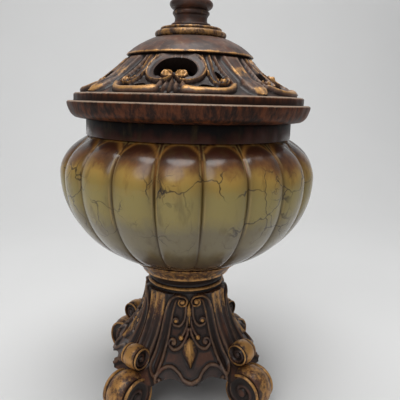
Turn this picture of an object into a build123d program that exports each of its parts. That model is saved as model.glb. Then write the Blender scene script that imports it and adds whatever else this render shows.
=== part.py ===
from build123d import *
import os
from math import acos, cos, degrees, radians, sin, sqrt

# A covered urn: a hollow pedestal on four scroll feet, a lobed bowl and a pierced lid with a finial.
# Millimetres. The origin is on the floor under the middle of the urn, +Z is up, the front faces -Y.

# Feet
FELT_THICKNESS = 1.5
FELT_RADIUS = 5.5
FOOT_SCROLL_RADIUS = 17.7
FOOT_SCROLL_REACH = 68.5
FOOT_WIDTH = 25.0
FOOT_FLAT = 1.2
FOOT_CROWN = 2.4
FOOT_EDGE_WIDTH = 2.6
FOOT_GROOVE_WIDTH = 1.0
FOOT_GROOVE_DEPTH = 1.1

# Pedestal, with its height measured from the top of the felt
PEDESTAL_HEIGHT = 90.0
NECK_REACH = 33.0
NECK_CORNER_REACH = 34.0
APRON_FLARE = 29.0
APRON_CORNER_FLARE = 30.0
APRON_CLEARANCE = 28.0
PEDESTAL_WALL = 6.0
PEDESTAL_PLATE = 8.0
ARCH_SPAN = 27.0
ARCH_RISE = 5.0
ARCH_OFFSET = 18.0

FACE_RELIEF = 1.6
FRAME_LEVELS = (0.22, 0.4, 0.58, 0.76, 0.9)
FRAME_OUTSIDE = 2.4
FRAME_INSIDE = 3.8
PENDANT_LOW = 7.0
PENDANT_HEIGHT = 18.5
PENDANT_WIDTH = 10.0
WAVE_THICKNESS = 2.4
WAVE_LOW = 2.0
WAVE_HIGH = 11.5
WAVE_CREST = 15.0
WAVE_END = 24.0

# Corner scrolls of the pedestal
STRIP_WIDTH = 18.0
STRIP_PROUD = 2.5
STRIP_FLARE = 19.0
VOLUTE_RADIUS = 9.5
VOLUTE_REACH = 60.0
VOLUTE_RISE = 27.5
VOLUTE_WIDTH = 19.0
VOLUTE_EYE_RADIUS = 3.5
VOLUTE_EYE_PROUD = 1.2

# Seat ring under the bowl
SEAT_HEIGHT = 24.5
SEAT_BEAD_RADIUS = 1.6
SEAT_WAIST_INSET = 2.5
SEAT_BAND_HEIGHT = 11.5
SEAT_BAND_INSET = 10.0
SEAT_LIP = 1.0

# Bowl
BOWL_RADIUS = 100.5
BELLY_DEPTH = 79.0
SHOULDER_DEPTH = 48.0
BOWL_FOOT_RADIUS = 46.0
BOWL_WALL = 6.0
COLLAR_INSET = 20.2
COLLAR_HEIGHT = 13.0
LOBE_COUNT = 20
LOBE_DEPTH = 3.2
LOBE_FOOT_SHARE = 0.25
BELLY_LEVELS = 5
SHOULDER_LEVELS = 4

# Bolt through the bowl, the seat and the pedestal
BOLT_RADIUS = 4.0
BOLT_HEAD_RADIUS = 9.0
BOLT_HEAD_HEIGHT = 5.0
BOLT_CROWN_SHARE = 0.6
BOLT_PAST_NUT = 4.0
BOLT_HOLE_CLEARANCE = 0.3
THREAD_CLEARANCE = 0.05
RUBBER_WASHER_RADIUS = 14.0
RUBBER_WASHER_THICKNESS = 2.0
CLAMP_WASHER_RADIUS = 12.0
CLAMP_WASHER_THICKNESS = 1.6
CLAMP_NUT_ACROSS_FLATS = 13.0
CLAMP_NUT_HEIGHT = 6.5

# Soft ring round the lid's plug
SEAL_THICKNESS = 1.2
SEAL_SKIRT = 1.6
SEAL_EDGE_INSET = 0.8
MOUTH_CLEARANCE = 0.4
PLUG_CLEARANCE = 0.3

# Lid
LID_TURN = -15.0
PLUG_DEPTH = 8.0
PLUG_WALL = 5.0
RIM_OVERHANG = 13.9
RIM_DROP = 2.0
RIM_CLEARANCE = 1.3
RIM_HEIGHT = 13.0
RIM_TOP_INSET = 1.6
RIM_SWELL_DROP = 3.6
RIM_FLAT = 1.5
STEP_INSET = 5.4
STEP_HEIGHT = 6.0
STEP_LEDGE = 4.0
CONE_HEIGHT = 28.0
CONE_TOP_RADIUS = 46.0
CONE_SAG = 2.5
CONE_WALL = 8.5
OPENING_WIDTH = 33.0
FRAME_WIDTH = 5.5
FRAME_TOP_GAP = 3.4
FRAME_FOOT_GAP = 10.4
FRAME_PROUD = 2.2
FRAME_SINK = 4.5
SLOT_LENGTH = 15.0
SLOT_WIDTH = 4.5
SLOT_ANGLE = 27.0
LEAF_WIDTH = 19.0
LEAF_END_GAP = 6.9
LEAF_PROUD = 3.0
LEAF_SINK = 2.5
BAR_LENGTH = 35.0
BAR_WIDTH = 7.0
BAR_ANGLE = 15.9
BAR_FOOT_GAP = 4.8
BAR_PROUD = 4.4
RIBBON_LENGTH = 31.0
RIBBON_WIDTH = 5.4
RIBBON_ANGLE = 23.0
RIBBON_PROUD = 2.4
RIBBON_SINK = 3.0

# Cap of the lid
BRIM_OVERHANG = 3.0
BRIM_HEIGHT = 2.4
CAP_DOME_HEIGHT = 12.0
CAP_DOME_SWELL = 1.5
CAP_DISC_RADIUS = 27.5
CAP_DISC_HEIGHT = 8.0
CAP_DISC_ROUND = 3.5
CAP_WALL = 6.0
SPIGOT_DEPTH = 3.0
SPIGOT_CLEARANCE = 0.2

# Finial, as heights and radii of its turned members from the cap upwards
FINIAL_FOOT_RADIUS = 15.5
FINIAL_FOOT_HEIGHT = 3.0
FINIAL_NECK_RADIUS = 11.5
FINIAL_NECK_HEIGHT = 6.0
FINIAL_RING_RADIUS = 13.2
FINIAL_RING_HEIGHT = 5.0
FINIAL_BEAD_RADIUS = 16.0
FINIAL_BEAD_HEIGHT = 8.0
FINIAL_WAIST_RADIUS = 8.5
FINIAL_WAIST_HEIGHT = 6.0
FINIAL_BULB_RADIUS = 12.0
FINIAL_BULB_HEIGHT = 14.0
FINIAL_TIP_RADIUS = 3.0
FINIAL_TIP_HEIGHT = 4.5
FINIAL_SWELL = 0.3
STUD_RADIUS = 3.0
STUD_IN_FINIAL = 15.0
STUD_END_GAP = 0.5
STUD_PAST_NUT = 3.0
STUD_WASHER_RADIUS = 9.0
STUD_WASHER_THICKNESS = 1.2
STUD_NUT_ACROSS_FLATS = 10.0
STUD_NUT_HEIGHT = 5.0

# Heights worked out from the driving dimensions
FOOT_SCROLL_Z = FELT_THICKNESS + FOOT_SCROLL_RADIUS - FOOT_FLAT
VOLUTE_Z = FOOT_SCROLL_Z + VOLUTE_RISE
APRON_Z = FELT_THICKNESS + APRON_CLEARANCE
NECK_Z = FELT_THICKNESS + PEDESTAL_HEIGHT
PLATE_Z = NECK_Z - PEDESTAL_PLATE
BOWL_Z = NECK_Z + SEAT_HEIGHT
WIDEST_Z = BOWL_Z + BELLY_DEPTH * sqrt(1 - (BOWL_FOOT_RADIUS / BOWL_RADIUS) ** 2)
COLLAR_RADIUS = BOWL_RADIUS - COLLAR_INSET
COLLAR_Z = WIDEST_Z + SHOULDER_DEPTH * sqrt(1 - (COLLAR_RADIUS / BOWL_RADIUS) ** 2)
LIP_Z = COLLAR_Z + COLLAR_HEIGHT
BOWL_FLOOR_Z = BOWL_Z + BOWL_WALL
LID_Z = LIP_Z + SEAL_THICKNESS
RIM_TOP_Z = LID_Z - RIM_DROP + RIM_HEIGHT
CONE_Z = RIM_TOP_Z + STEP_HEIGHT
CAP_Z = CONE_Z + CONE_HEIGHT
CAP_TOP_Z = CAP_Z + BRIM_HEIGHT + CAP_DOME_HEIGHT + CAP_DISC_HEIGHT
CAP_UNDER_Z = CAP_TOP_Z - CAP_WALL

# Radii worked out from the driving dimensions
MOUTH_RADIUS = COLLAR_RADIUS - BOWL_WALL
SEAL_OUTER = MOUTH_RADIUS - MOUTH_CLEARANCE
SEAL_INNER = SEAL_OUTER - SEAL_SKIRT
PLUG_RADIUS = SEAL_INNER - PLUG_CLEARANCE
RIM_RADIUS = COLLAR_RADIUS + RIM_OVERHANG
STEP_RADIUS = RIM_RADIUS - STEP_INSET
CONE_RADIUS = STEP_RADIUS - STEP_LEDGE
BRIM_RADIUS = CONE_TOP_RADIUS + BRIM_OVERHANG
SPIGOT_RADIUS = CONE_TOP_RADIUS - CONE_WALL - SPIGOT_CLEARANCE

# Lengths up the slope of the lid's cone, worked out from the driving dimensions
CONE_RUN = CONE_RADIUS - CONE_TOP_RADIUS
CONE_SLOPE = sqrt(CONE_RUN ** 2 + CONE_HEIGHT ** 2)
FRAME_LENGTH = CONE_SLOPE - FRAME_FOOT_GAP - FRAME_TOP_GAP
FRAME_SHIFT = (FRAME_FOOT_GAP - FRAME_TOP_GAP) / 2
LEAF_LENGTH = CONE_SLOPE - 2 * LEAF_END_GAP

# Turns about the axis: the four faces, and a face's angle to the corner beside it
QUARTERS = (0, 90, 180, 270)
CORNER_TURN = 45
CORNER_NAMES = ("back_right", "back_left", "front_left", "front_right")


def turned(*edges):
    """Solid of revolution about the axis from the edges of a closed outline in the XZ plane."""
    return revolve(Plane.XZ * make_face(list(edges)), Axis.Z)


def rod(radius, low, high):
    """Plain round rod on the axis."""
    return Pos(0, 0, low) * extrude(Circle(radius), amount=high - low)


def ring(inner, outer, low, high):
    """Plain ring about the axis."""
    return Pos(0, 0, low) * extrude(Circle(outer) - Circle(inner), amount=high - low)


def hex_nut(across_flats, bore, low, height):
    """Hexagon nut about the axis."""
    section = RegularPolygon(across_flats / 2, 6, major_radius=False) - Circle(bore)
    return Pos(0, 0, low) * extrude(section, amount=height)


def flared_slab(top_reach, flare, span):
    """Slab across the axis whose two faces sweep outwards from the neck to the apron's lower edge."""
    right = TangentArc((top_reach, NECK_Z), (top_reach + flare, APRON_Z), tangent=(0, -1))
    left = TangentArc((-top_reach, NECK_Z), (-top_reach - flare, APRON_Z), tangent=(0, -1))
    outline = [right, left, Line(left @ 0, right @ 0), Line(left @ 1, right @ 1)]
    return extrude(Plane.XZ * make_face(outline), amount=span, both=True)


def flared_core(inset, high):
    """Eight-sided flared body: four faces and four corners, each set in by the same amount."""
    span = 2 * (NECK_CORNER_REACH + APRON_CORNER_FLARE + NECK_REACH + APRON_FLARE)
    faces = flared_slab(NECK_REACH - inset, APRON_FLARE, span)
    corners = flared_slab(NECK_CORNER_REACH - inset, APRON_CORNER_FLARE, span)
    sides = [Rot(0, 0, turn) * faces for turn in QUARTERS[:2]]
    edges = [Rot(0, 0, CORNER_TURN + turn) * corners for turn in QUARTERS[:2]]
    core = sides[0] & sides[1] & edges[0] & edges[1]
    keep = Pos(0, 0, APRON_Z) * extrude(Rectangle(span, span), amount=high - APRON_Z)
    return core & keep


def swept_reach(top_reach, flare, height):
    """Distance from the axis, at a height, of a face that sweeps out from the neck."""
    drop = NECK_Z - APRON_Z
    radius = (flare ** 2 + drop ** 2) / (2 * flare)
    return top_reach + radius - (radius ** 2 - (NECK_Z - height) ** 2) ** 0.5


def face_half(height):
    """Half the width of a face of the pedestal at a height."""
    corner = swept_reach(NECK_CORNER_REACH, APRON_CORNER_FLARE, height)
    return 2 ** 0.5 * corner - swept_reach(NECK_REACH, APRON_FLARE, height)


def face_carving():
    """Frame bands, wave moulding and pendant of the four faces, standing proud by their relief."""
    levels = [APRON_Z + share * (NECK_Z - APRON_Z) for share in FRAME_LEVELS]
    outside = [(face_half(level) + FRAME_OUTSIDE, level) for level in levels]
    inside = [(face_half(level) - FRAME_INSIDE, level) for level in reversed(levels)]
    right = make_face(Polyline(*outside, *inside, close=True))
    low = APRON_Z + PENDANT_LOW
    belly = (PENDANT_WIDTH / 2, low + PENDANT_HEIGHT / 2)
    pendant = make_face(Polyline((0, low), belly, (0, low + PENDANT_HEIGHT), (-belly[0], belly[1]), close=True))
    wave = [(-WAVE_END, WAVE_HIGH - 2 * WAVE_THICKNESS), (-WAVE_CREST, WAVE_HIGH), (0, WAVE_LOW),
            (WAVE_CREST, WAVE_HIGH), (WAVE_END, WAVE_HIGH - 2 * WAVE_THICKNESS)]
    under = [(across, APRON_Z + up - WAVE_THICKNESS / 2) for across, up in wave]
    over = [(across, APRON_Z + up + WAVE_THICKNESS / 2) for across, up in reversed(wave)]
    moulding = make_face(Polyline(*under, *over, close=True))
    reach = APRON_FLARE + 2 * PEDESTAL_WALL
    root = Pos(0, PEDESTAL_WALL - NECK_REACH, 0)
    raised_body = flared_core(-FACE_RELIEF, NECK_Z)
    carving = []
    for form in (right, mirror(right, about=Plane.YZ), pendant, moulding):
        carving.append(raised_body & (root * extrude(Plane.XZ * form, amount=reach)))
    return [Rot(0, 0, turn) * form for turn in QUARTERS for form in carving]


def arches():
    """Two shallow arches in the lower edge of each apron."""
    reach = NECK_REACH + APRON_FLARE + PEDESTAL_WALL
    start, stop = (-ARCH_SPAN / 2, APRON_Z), (ARCH_SPAN / 2, APRON_Z)
    arch = make_face([ThreePointArc(start, (0, APRON_Z + ARCH_RISE), stop), Line(stop, start)])
    pair = [Pos(side * ARCH_OFFSET, 0, 0) * extrude(Plane.XZ * arch, amount=reach) for side in (-1, 1)]
    return [Rot(0, 0, turn) * cut for turn in QUARTERS for cut in pair]


def foot_scroll():
    """Crowned barrel of a foot: a groove and a raised edge on each side of its crown."""
    half = FOOT_WIDTH / 2
    edge = FOOT_SCROLL_RADIUS - FOOT_CROWN
    groove = edge - FOOT_GROOVE_DEPTH
    inner = half - FOOT_EDGE_WIDTH
    crown = inner - FOOT_GROOVE_WIDTH
    side = [(edge, crown), (groove, crown), (groove, inner), (edge, inner), (edge, half), (0, half)]
    other = [(reach, -across) for reach, across in reversed(side)]
    arch = ThreePointArc((edge, -crown), (FOOT_SCROLL_RADIUS, 0), (edge, crown))
    middle = (FOOT_SCROLL_REACH, 0, FOOT_SCROLL_Z)
    return revolve(Pos(*middle) * make_face([Polyline(*side, *other), arch]), axis=Axis(middle, (0, 1, 0)))


def corner_scroll():
    """One corner of the pedestal on the +X side: ribbon, volute with its eyes, knee and foot scroll."""
    strip_reach = NECK_CORNER_REACH + STRIP_PROUD
    sweep = TangentArc((strip_reach, NECK_Z), (strip_reach + STRIP_FLARE, VOLUTE_Z), tangent=(0, -1))
    root_top = (NECK_CORNER_REACH / 2, NECK_Z)
    root_foot = (NECK_CORNER_REACH, VOLUTE_Z)
    back = Line(root_foot, root_top)
    strip = make_face([Line(root_top, sweep @ 0), sweep, Line(sweep @ 1, root_foot), back])
    knee = Polygon(
        (FOOT_SCROLL_REACH - FOOT_SCROLL_RADIUS, FOOT_SCROLL_Z),
        (FOOT_SCROLL_REACH, FOOT_SCROLL_Z),
        (VOLUTE_REACH, VOLUTE_Z),
        (NECK_CORNER_REACH, VOLUTE_Z),
        align=None,
    )
    volute = Pos(VOLUTE_REACH, VOLUTE_Z) * Circle(VOLUTE_RADIUS)
    eye = Pos(VOLUTE_REACH, VOLUTE_Z) * Circle(VOLUTE_EYE_RADIUS)
    ribbons = [
        (strip, STRIP_WIDTH),
        (knee, STRIP_WIDTH),
        (volute, VOLUTE_WIDTH),
        (eye, VOLUTE_WIDTH + 2 * VOLUTE_EYE_PROUD),
    ]
    parts = [extrude(Plane.XZ * face, amount=width / 2, both=True) for face, width in ribbons]
    return foot_scroll().fuse(*parts)


def pedestal():
    """Hollow casting with four corner scrolls, open below and closed by a plate above."""
    body = flared_core(0, NECK_Z).fuse(*face_carving()).cut(*arches())
    corner = corner_scroll()
    body = body.fuse(*[Rot(0, 0, CORNER_TURN + turn) * corner for turn in QUARTERS])
    width = 2 * (FOOT_SCROLL_REACH + FOOT_SCROLL_RADIUS + FOOT_WIDTH)
    under = Pos(0, 0, FELT_THICKNESS) * extrude(Rectangle(width, width), amount=-NECK_Z)
    hollow = flared_core(PEDESTAL_WALL, PLATE_Z)
    bolt_hole = Pos(0, 0, PLATE_Z) * extrude(Circle(BOLT_RADIUS + BOLT_HOLE_CLEARANCE), amount=NECK_Z)
    return body.cut(under, hollow, bolt_hole)


def felt_pad(corner):
    """Round felt pad under the foot on one corner."""
    place = Rot(0, 0, corner) * Pos(FOOT_SCROLL_REACH, 0, 0)
    return place * extrude(Circle(FELT_RADIUS), amount=FELT_THICKNESS)


def bowl_seat():
    """Moulded ring: a bead at the foot, a cove and a flared band that carries the bowl."""
    bore = BOLT_RADIUS + BOLT_HOLE_CLEARANCE
    waist = NECK_REACH - SEAT_WAIST_INSET
    bead_top = NECK_Z + 2 * SEAT_BEAD_RADIUS
    band_foot = (BOWL_FOOT_RADIUS - SEAT_BAND_INSET, BOWL_Z - SEAT_BAND_HEIGHT)
    lip = BOWL_FOOT_RADIUS + SEAT_LIP
    cove = TangentArc((waist, bead_top), band_foot, tangent=(0, 1))
    return turned(
        Line((bore, NECK_Z), (NECK_REACH - SEAT_BEAD_RADIUS, NECK_Z)),
        ThreePointArc((NECK_REACH - SEAT_BEAD_RADIUS, NECK_Z), (NECK_REACH, NECK_Z + SEAT_BEAD_RADIUS),
                      (NECK_REACH - SEAT_BEAD_RADIUS, bead_top)),
        Line((NECK_REACH - SEAT_BEAD_RADIUS, bead_top), (waist, bead_top)),
        cove,
        Line(band_foot, (lip, BOWL_Z - SEAT_LIP)),
        Line((lip, BOWL_Z - SEAT_LIP), (lip, BOWL_Z)),
        Line((lip, BOWL_Z), (bore, BOWL_Z)),
        Line((bore, BOWL_Z), (bore, NECK_Z)),
    )


def bowl_level(angle):
    """Radius and height of the bowl over the lobes at one angle of its two quarter ellipses."""
    depth = SHOULDER_DEPTH if angle > 0 else BELLY_DEPTH
    return BOWL_RADIUS * cos(angle), WIDEST_Z + depth * sin(angle)


def lobed_section(radius, height, depth):
    """Scalloped face across the bowl: one arc for each lobe, its ends set in by the depth."""
    pitch = 360 / LOBE_COUNT
    arcs = []
    for lobe in range(LOBE_COUNT):
        valleys = [radians(pitch * (lobe + end)) for end in (0, 1)]
        crest = radians(pitch * (lobe + 0.5))
        start, stop = [((radius - depth) * sin(a), -(radius - depth) * cos(a)) for a in valleys]
        arcs.append(ThreePointArc(start, (radius * sin(crest), -radius * cos(crest)), stop))
    return Pos(0, 0, height) * make_face(arcs)


def bowl():
    """Lobed bowl with a plain collar, hollow, with a hole in its floor for the bolt."""
    low = -acos(BOWL_FOOT_RADIUS / BOWL_RADIUS)
    high = acos(COLLAR_RADIUS / BOWL_RADIUS)
    angles = [low * (1 - level / BELLY_LEVELS) for level in range(BELLY_LEVELS)]
    angles += [high * level / SHOULDER_LEVELS for level in range(SHOULDER_LEVELS + 1)]
    sections = []
    for angle in angles:
        arched_top = min(1.0, SHOULDER_LEVELS * (1 - angle / high))
        narrow_foot = min(1.0, LOBE_FOOT_SHARE + BELLY_LEVELS * (1 - angle / low))
        radius, height = bowl_level(angle)
        sections.append(lobed_section(radius, height, LOBE_DEPTH * arched_top * narrow_foot))
    body = loft(sections) + rod(COLLAR_RADIUS, COLLAR_Z, LIP_Z)
    return body.cut(bowl_hollow(), rod(BOLT_RADIUS + BOLT_HOLE_CLEARANCE, NECK_Z, WIDEST_Z))


def bowl_hollow():
    """Space inside the bowl: two quarter ellipses over a flat floor, and a straight mouth."""
    inside = BOWL_RADIUS - LOBE_DEPTH - BOWL_WALL
    floor_angle = acos((BOWL_FOOT_RADIUS - LOBE_DEPTH) / inside)
    mouth_angle = acos(MOUTH_RADIUS / inside)
    centre = (0, WIDEST_Z)
    belly_depth = (WIDEST_Z - BOWL_FLOOR_Z) / sin(floor_angle)
    shoulder_depth = (COLLAR_Z - WIDEST_Z) / sin(mouth_angle)
    floor_turn, mouth_turn = degrees(floor_angle), degrees(mouth_angle)
    belly = EllipticalCenterArc(centre, inside, belly_depth, -floor_turn, arc_size=floor_turn)
    shoulder = EllipticalCenterArc(centre, inside, shoulder_depth, 0, arc_size=mouth_turn)
    above = LIP_Z + COLLAR_HEIGHT
    return turned(
        Line((0, BOWL_FLOOR_Z), belly @ 0),
        belly,
        shoulder,
        Line(shoulder @ 1, (MOUTH_RADIUS, above)),
        Line((MOUTH_RADIUS, above), (0, above)),
        Line((0, above), (0, BOWL_FLOOR_Z)),
    )


def tie_bolt():
    """Bolt from a round head inside the bowl down past the nut under the pedestal's plate."""
    head_z = BOWL_FLOOR_Z + RUBBER_WASHER_THICKNESS
    end_z = PLATE_Z - CLAMP_WASHER_THICKNESS - CLAMP_NUT_HEIGHT - BOLT_PAST_NUT
    head = Pos(0, 0, head_z) * extrude(Circle(BOLT_HEAD_RADIUS), amount=BOLT_HEAD_HEIGHT)
    crown = head.faces().sort_by(Axis.Z)[-1].edges()
    head = fillet(crown, BOLT_HEAD_HEIGHT * BOLT_CROWN_SHARE)
    return head + rod(BOLT_RADIUS, end_z, head_z)


def bowl_washer():
    """Rubber washer between the bolt's head and the bowl's floor."""
    top = BOWL_FLOOR_Z + RUBBER_WASHER_THICKNESS
    return ring(BOLT_RADIUS + BOLT_HOLE_CLEARANCE, RUBBER_WASHER_RADIUS, BOWL_FLOOR_Z, top)


def clamp_washer():
    """Steel washer under the pedestal's plate."""
    bore = BOLT_RADIUS + BOLT_HOLE_CLEARANCE
    return ring(bore, CLAMP_WASHER_RADIUS, PLATE_Z - CLAMP_WASHER_THICKNESS, PLATE_Z)


def clamp_nut():
    """Nut that draws the bolt tight against the clamp washer."""
    low = PLATE_Z - CLAMP_WASHER_THICKNESS - CLAMP_NUT_HEIGHT
    return hex_nut(CLAMP_NUT_ACROSS_FLATS, BOLT_RADIUS + THREAD_CLEARANCE, low, CLAMP_NUT_HEIGHT)


def lid_seal_ring():
    """Soft ring of L section: a skirt round the lid's plug and a flange on the bowl's lip."""
    skirt = ring(SEAL_INNER, SEAL_OUTER, LID_Z - PLUG_DEPTH, LID_Z)
    return skirt + ring(SEAL_INNER, COLLAR_RADIUS - SEAL_EDGE_INSET, LIP_Z, LID_Z)


def cone_arc(inset):
    """Hollow curve of the lid's cone from its foot to its top, set in towards the axis."""
    foot = Vector(CONE_RADIUS - inset, CONE_Z)
    top = Vector(CONE_TOP_RADIUS - inset, CAP_Z)
    out, up = cone_normal()
    middle = (foot + top) / 2 - Vector(out, up) * CONE_SAG
    return ThreePointArc(foot, middle, top)


def cone_normal():
    """Outward and upward parts of the unit vector that stands square on the cone's slope."""
    return CONE_HEIGHT / CONE_SLOPE, CONE_RUN / CONE_SLOPE


def cone_plane(turn):
    """Plane that touches the cone half way up, at an angle from the front; its Y runs up the slope."""
    out, up = cone_normal()
    reach = (CONE_RADIUS + CONE_TOP_RADIUS) / 2 - out * CONE_SAG
    height = (CONE_Z + CAP_Z) / 2 - up * CONE_SAG
    front = Plane(origin=(0, -reach, height), x_dir=(1, 0, 0), z_dir=(0, -out, up))
    return Plane(Rot(0, 0, turn) * front.location)


def lid_rim():
    """Turned foot of the lid: plug, rounded rim and the step that carries the cone."""
    plug_low = LID_Z - PLUG_DEPTH
    rim_low = LID_Z - RIM_DROP
    rim_inner = COLLAR_RADIUS + RIM_CLEARANCE
    rim_flat = (rim_inner + RIM_FLAT, rim_low)
    rim_edge = (RIM_RADIUS - RIM_TOP_INSET, RIM_TOP_Z)
    rim_swell = (RIM_RADIUS, RIM_TOP_Z - RIM_SWELL_DROP)
    cone_inner = CONE_RADIUS - CONE_WALL
    plug_inner = PLUG_RADIUS - PLUG_WALL
    return turned(
        Line((plug_inner, plug_low), (PLUG_RADIUS, plug_low)),
        Line((PLUG_RADIUS, plug_low), (PLUG_RADIUS, LID_Z)),
        Line((PLUG_RADIUS, LID_Z), (rim_inner, LID_Z)),
        Line((rim_inner, LID_Z), (rim_inner, rim_low)),
        Line((rim_inner, rim_low), rim_flat),
        ThreePointArc(rim_flat, rim_swell, rim_edge),
        Line(rim_edge, (STEP_RADIUS, RIM_TOP_Z)),
        Line((STEP_RADIUS, RIM_TOP_Z), (STEP_RADIUS, CONE_Z)),
        Line((STEP_RADIUS, CONE_Z), (cone_inner, CONE_Z)),
        Line((cone_inner, CONE_Z), (plug_inner, LID_Z)),
        Line((plug_inner, LID_Z), (plug_inner, plug_low)),
    )


def cone_shell():
    """Turned wall of the lid's hollow-curved cone."""
    outer = cone_arc(0)
    inner = cone_arc(CONE_WALL)
    return turned(
        Line(inner @ 0, outer @ 0),
        outer,
        Line(outer @ 1, inner @ 1),
        inner,
    )


def leaf_face():
    """Pointed leaf outline, its length along the slope."""
    tip, stem = (0, -LEAF_LENGTH / 2), (0, LEAF_LENGTH / 2)
    right = ThreePointArc(tip, (LEAF_WIDTH / 2, 0), stem)
    left = ThreePointArc(stem, (-LEAF_WIDTH / 2, 0), tip)
    return make_face([right, left])


def raised(plane, face, proud, sink):
    """Relief on the cone: the face stands proud of the plane and runs back into the wall."""
    relief = Pos(0, 0, -sink) * extrude(face, amount=sink + proud)
    return plane * relief


def lid_cone():
    """Pierced cone: four framed openings over bars, ribbons and slots beside them, and a leaf at each corner."""
    half_width, half_length = OPENING_WIDTH / 2, FRAME_LENGTH / 2
    shift = Pos(0, FRAME_SHIFT)
    frame = shift * Ellipse(half_width + FRAME_WIDTH, half_length)
    opening = shift * Ellipse(half_width, half_length - FRAME_WIDTH)
    slot = Rot(0, 0, 90) * SlotOverall(SLOT_LENGTH, SLOT_WIDTH)
    ribbon = Rot(0, 0, 90) * SlotOverall(RIBBON_LENGTH, RIBBON_WIDTH)
    bar = Pos(0, BAR_FOOT_GAP - CONE_SLOPE / 2) * SlotOverall(BAR_LENGTH, BAR_WIDTH)
    through = CONE_WALL + FRAME_PROUD
    reliefs = []
    cuts = []
    for turn in QUARTERS:
        panel = cone_plane(LID_TURN + turn)
        reliefs.append(raised(panel, frame, FRAME_PROUD, FRAME_SINK))
        corner = cone_plane(LID_TURN + turn + CORNER_TURN)
        reliefs.append(raised(corner, leaf_face(), LEAF_PROUD, LEAF_SINK))
        cuts.append(panel * extrude(opening, amount=through, both=True))
        for side in (-1, 1):
            place = cone_plane(LID_TURN + turn + side * BAR_ANGLE)
            reliefs.append(raised(place, bar, BAR_PROUD, RIBBON_SINK))
            place = cone_plane(LID_TURN + turn + side * RIBBON_ANGLE)
            reliefs.append(raised(place, ribbon, RIBBON_PROUD, RIBBON_SINK))
            place = cone_plane(LID_TURN + turn + side * SLOT_ANGLE)
            cuts.append(place * extrude(slot, amount=through, both=True))
    cuts.append(rod(2 * CONE_RADIUS, CONE_Z - CONE_HEIGHT, CONE_Z))
    return cone_shell().fuse(*reliefs).cut(*cuts)


def lid_cap():
    """Stepped cap: a brim over the cone, a low dome and a rounded disc, with a spigot below."""
    bore = STUD_RADIUS + BOLT_HOLE_CLEARANCE
    spigot_inner = SPIGOT_RADIUS - CAP_WALL
    spigot_low = CAP_Z - SPIGOT_DEPTH
    brim_top = (BRIM_RADIUS, CAP_Z + BRIM_HEIGHT)
    dome_top = (CAP_DISC_RADIUS, CAP_Z + BRIM_HEIGHT + CAP_DOME_HEIGHT)
    dome_middle = ((BRIM_RADIUS + CAP_DISC_RADIUS) / 2 + CAP_DOME_SWELL,
                   CAP_Z + BRIM_HEIGHT + CAP_DOME_HEIGHT / 2 + CAP_DOME_SWELL)
    disc_edge = (CAP_DISC_RADIUS, CAP_TOP_Z - CAP_DISC_ROUND)
    disc_top = (CAP_DISC_RADIUS - CAP_DISC_ROUND, CAP_TOP_Z)
    disc_round = RadiusArc(disc_edge, disc_top, -CAP_DISC_ROUND)
    under_radius = CAP_DISC_RADIUS - CAP_WALL
    return turned(
        Line((spigot_inner, spigot_low), (SPIGOT_RADIUS, spigot_low)),
        Line((SPIGOT_RADIUS, spigot_low), (SPIGOT_RADIUS, CAP_Z)),
        Line((SPIGOT_RADIUS, CAP_Z), (BRIM_RADIUS, CAP_Z)),
        Line((BRIM_RADIUS, CAP_Z), brim_top),
        ThreePointArc(brim_top, dome_middle, dome_top),
        Line(dome_top, disc_edge),
        disc_round,
        Line(disc_top, (bore, CAP_TOP_Z)),
        Line((bore, CAP_TOP_Z), (bore, CAP_UNDER_Z)),
        Line((bore, CAP_UNDER_Z), (under_radius, CAP_UNDER_Z)),
        Line((under_radius, CAP_UNDER_Z), (spigot_inner, spigot_low)),
    )


def finial():
    """Turned knob: foot, neck, ring, bead, waist, bulb and tip, with a blind hole for its stud."""
    members = [
        (FINIAL_FOOT_RADIUS, FINIAL_FOOT_HEIGHT, FINIAL_SWELL),
        (FINIAL_NECK_RADIUS, FINIAL_NECK_HEIGHT, 0),
        (FINIAL_RING_RADIUS, FINIAL_RING_HEIGHT, FINIAL_SWELL),
        (FINIAL_BEAD_RADIUS, FINIAL_BEAD_HEIGHT, FINIAL_SWELL),
        (FINIAL_WAIST_RADIUS, FINIAL_WAIST_HEIGHT, -FINIAL_SWELL),
        (FINIAL_BULB_RADIUS, FINIAL_BULB_HEIGHT, FINIAL_SWELL),
        (FINIAL_TIP_RADIUS, FINIAL_TIP_HEIGHT, FINIAL_SWELL),
    ]
    last = (0, CAP_TOP_Z)
    edges = []
    for radius, height, swell in members:
        edge_radius = radius - swell * height
        low, high = (edge_radius, last[1]), (edge_radius, last[1] + height)
        edges.append(Line(last, low))
        if swell:
            edges.append(ThreePointArc(low, (radius, last[1] + height / 2), high))
        else:
            edges.append(Line(low, high))
        last = high
    edges.append(Line(last, (0, last[1])))
    edges.append(Line((0, last[1]), (0, CAP_TOP_Z)))
    hole = rod(STUD_RADIUS + THREAD_CLEARANCE, CAP_TOP_Z, CAP_TOP_Z + STUD_IN_FINIAL + STUD_END_GAP)
    return turned(*edges) - hole


def finial_stud():
    """Threaded stud from inside the finial to below its nut."""
    low = CAP_UNDER_Z - STUD_WASHER_THICKNESS - STUD_NUT_HEIGHT - STUD_PAST_NUT
    return rod(STUD_RADIUS, low, CAP_TOP_Z + STUD_IN_FINIAL)


def finial_washer():
    """Washer under the cap."""
    bore = STUD_RADIUS + BOLT_HOLE_CLEARANCE
    return ring(bore, STUD_WASHER_RADIUS, CAP_UNDER_Z - STUD_WASHER_THICKNESS, CAP_UNDER_Z)


def finial_nut():
    """Nut on the finial's stud."""
    low = CAP_UNDER_Z - STUD_WASHER_THICKNESS - STUD_NUT_HEIGHT
    return hex_nut(STUD_NUT_ACROSS_FLATS, STUD_RADIUS + THREAD_CLEARANCE, low, STUD_NUT_HEIGHT)


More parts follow.
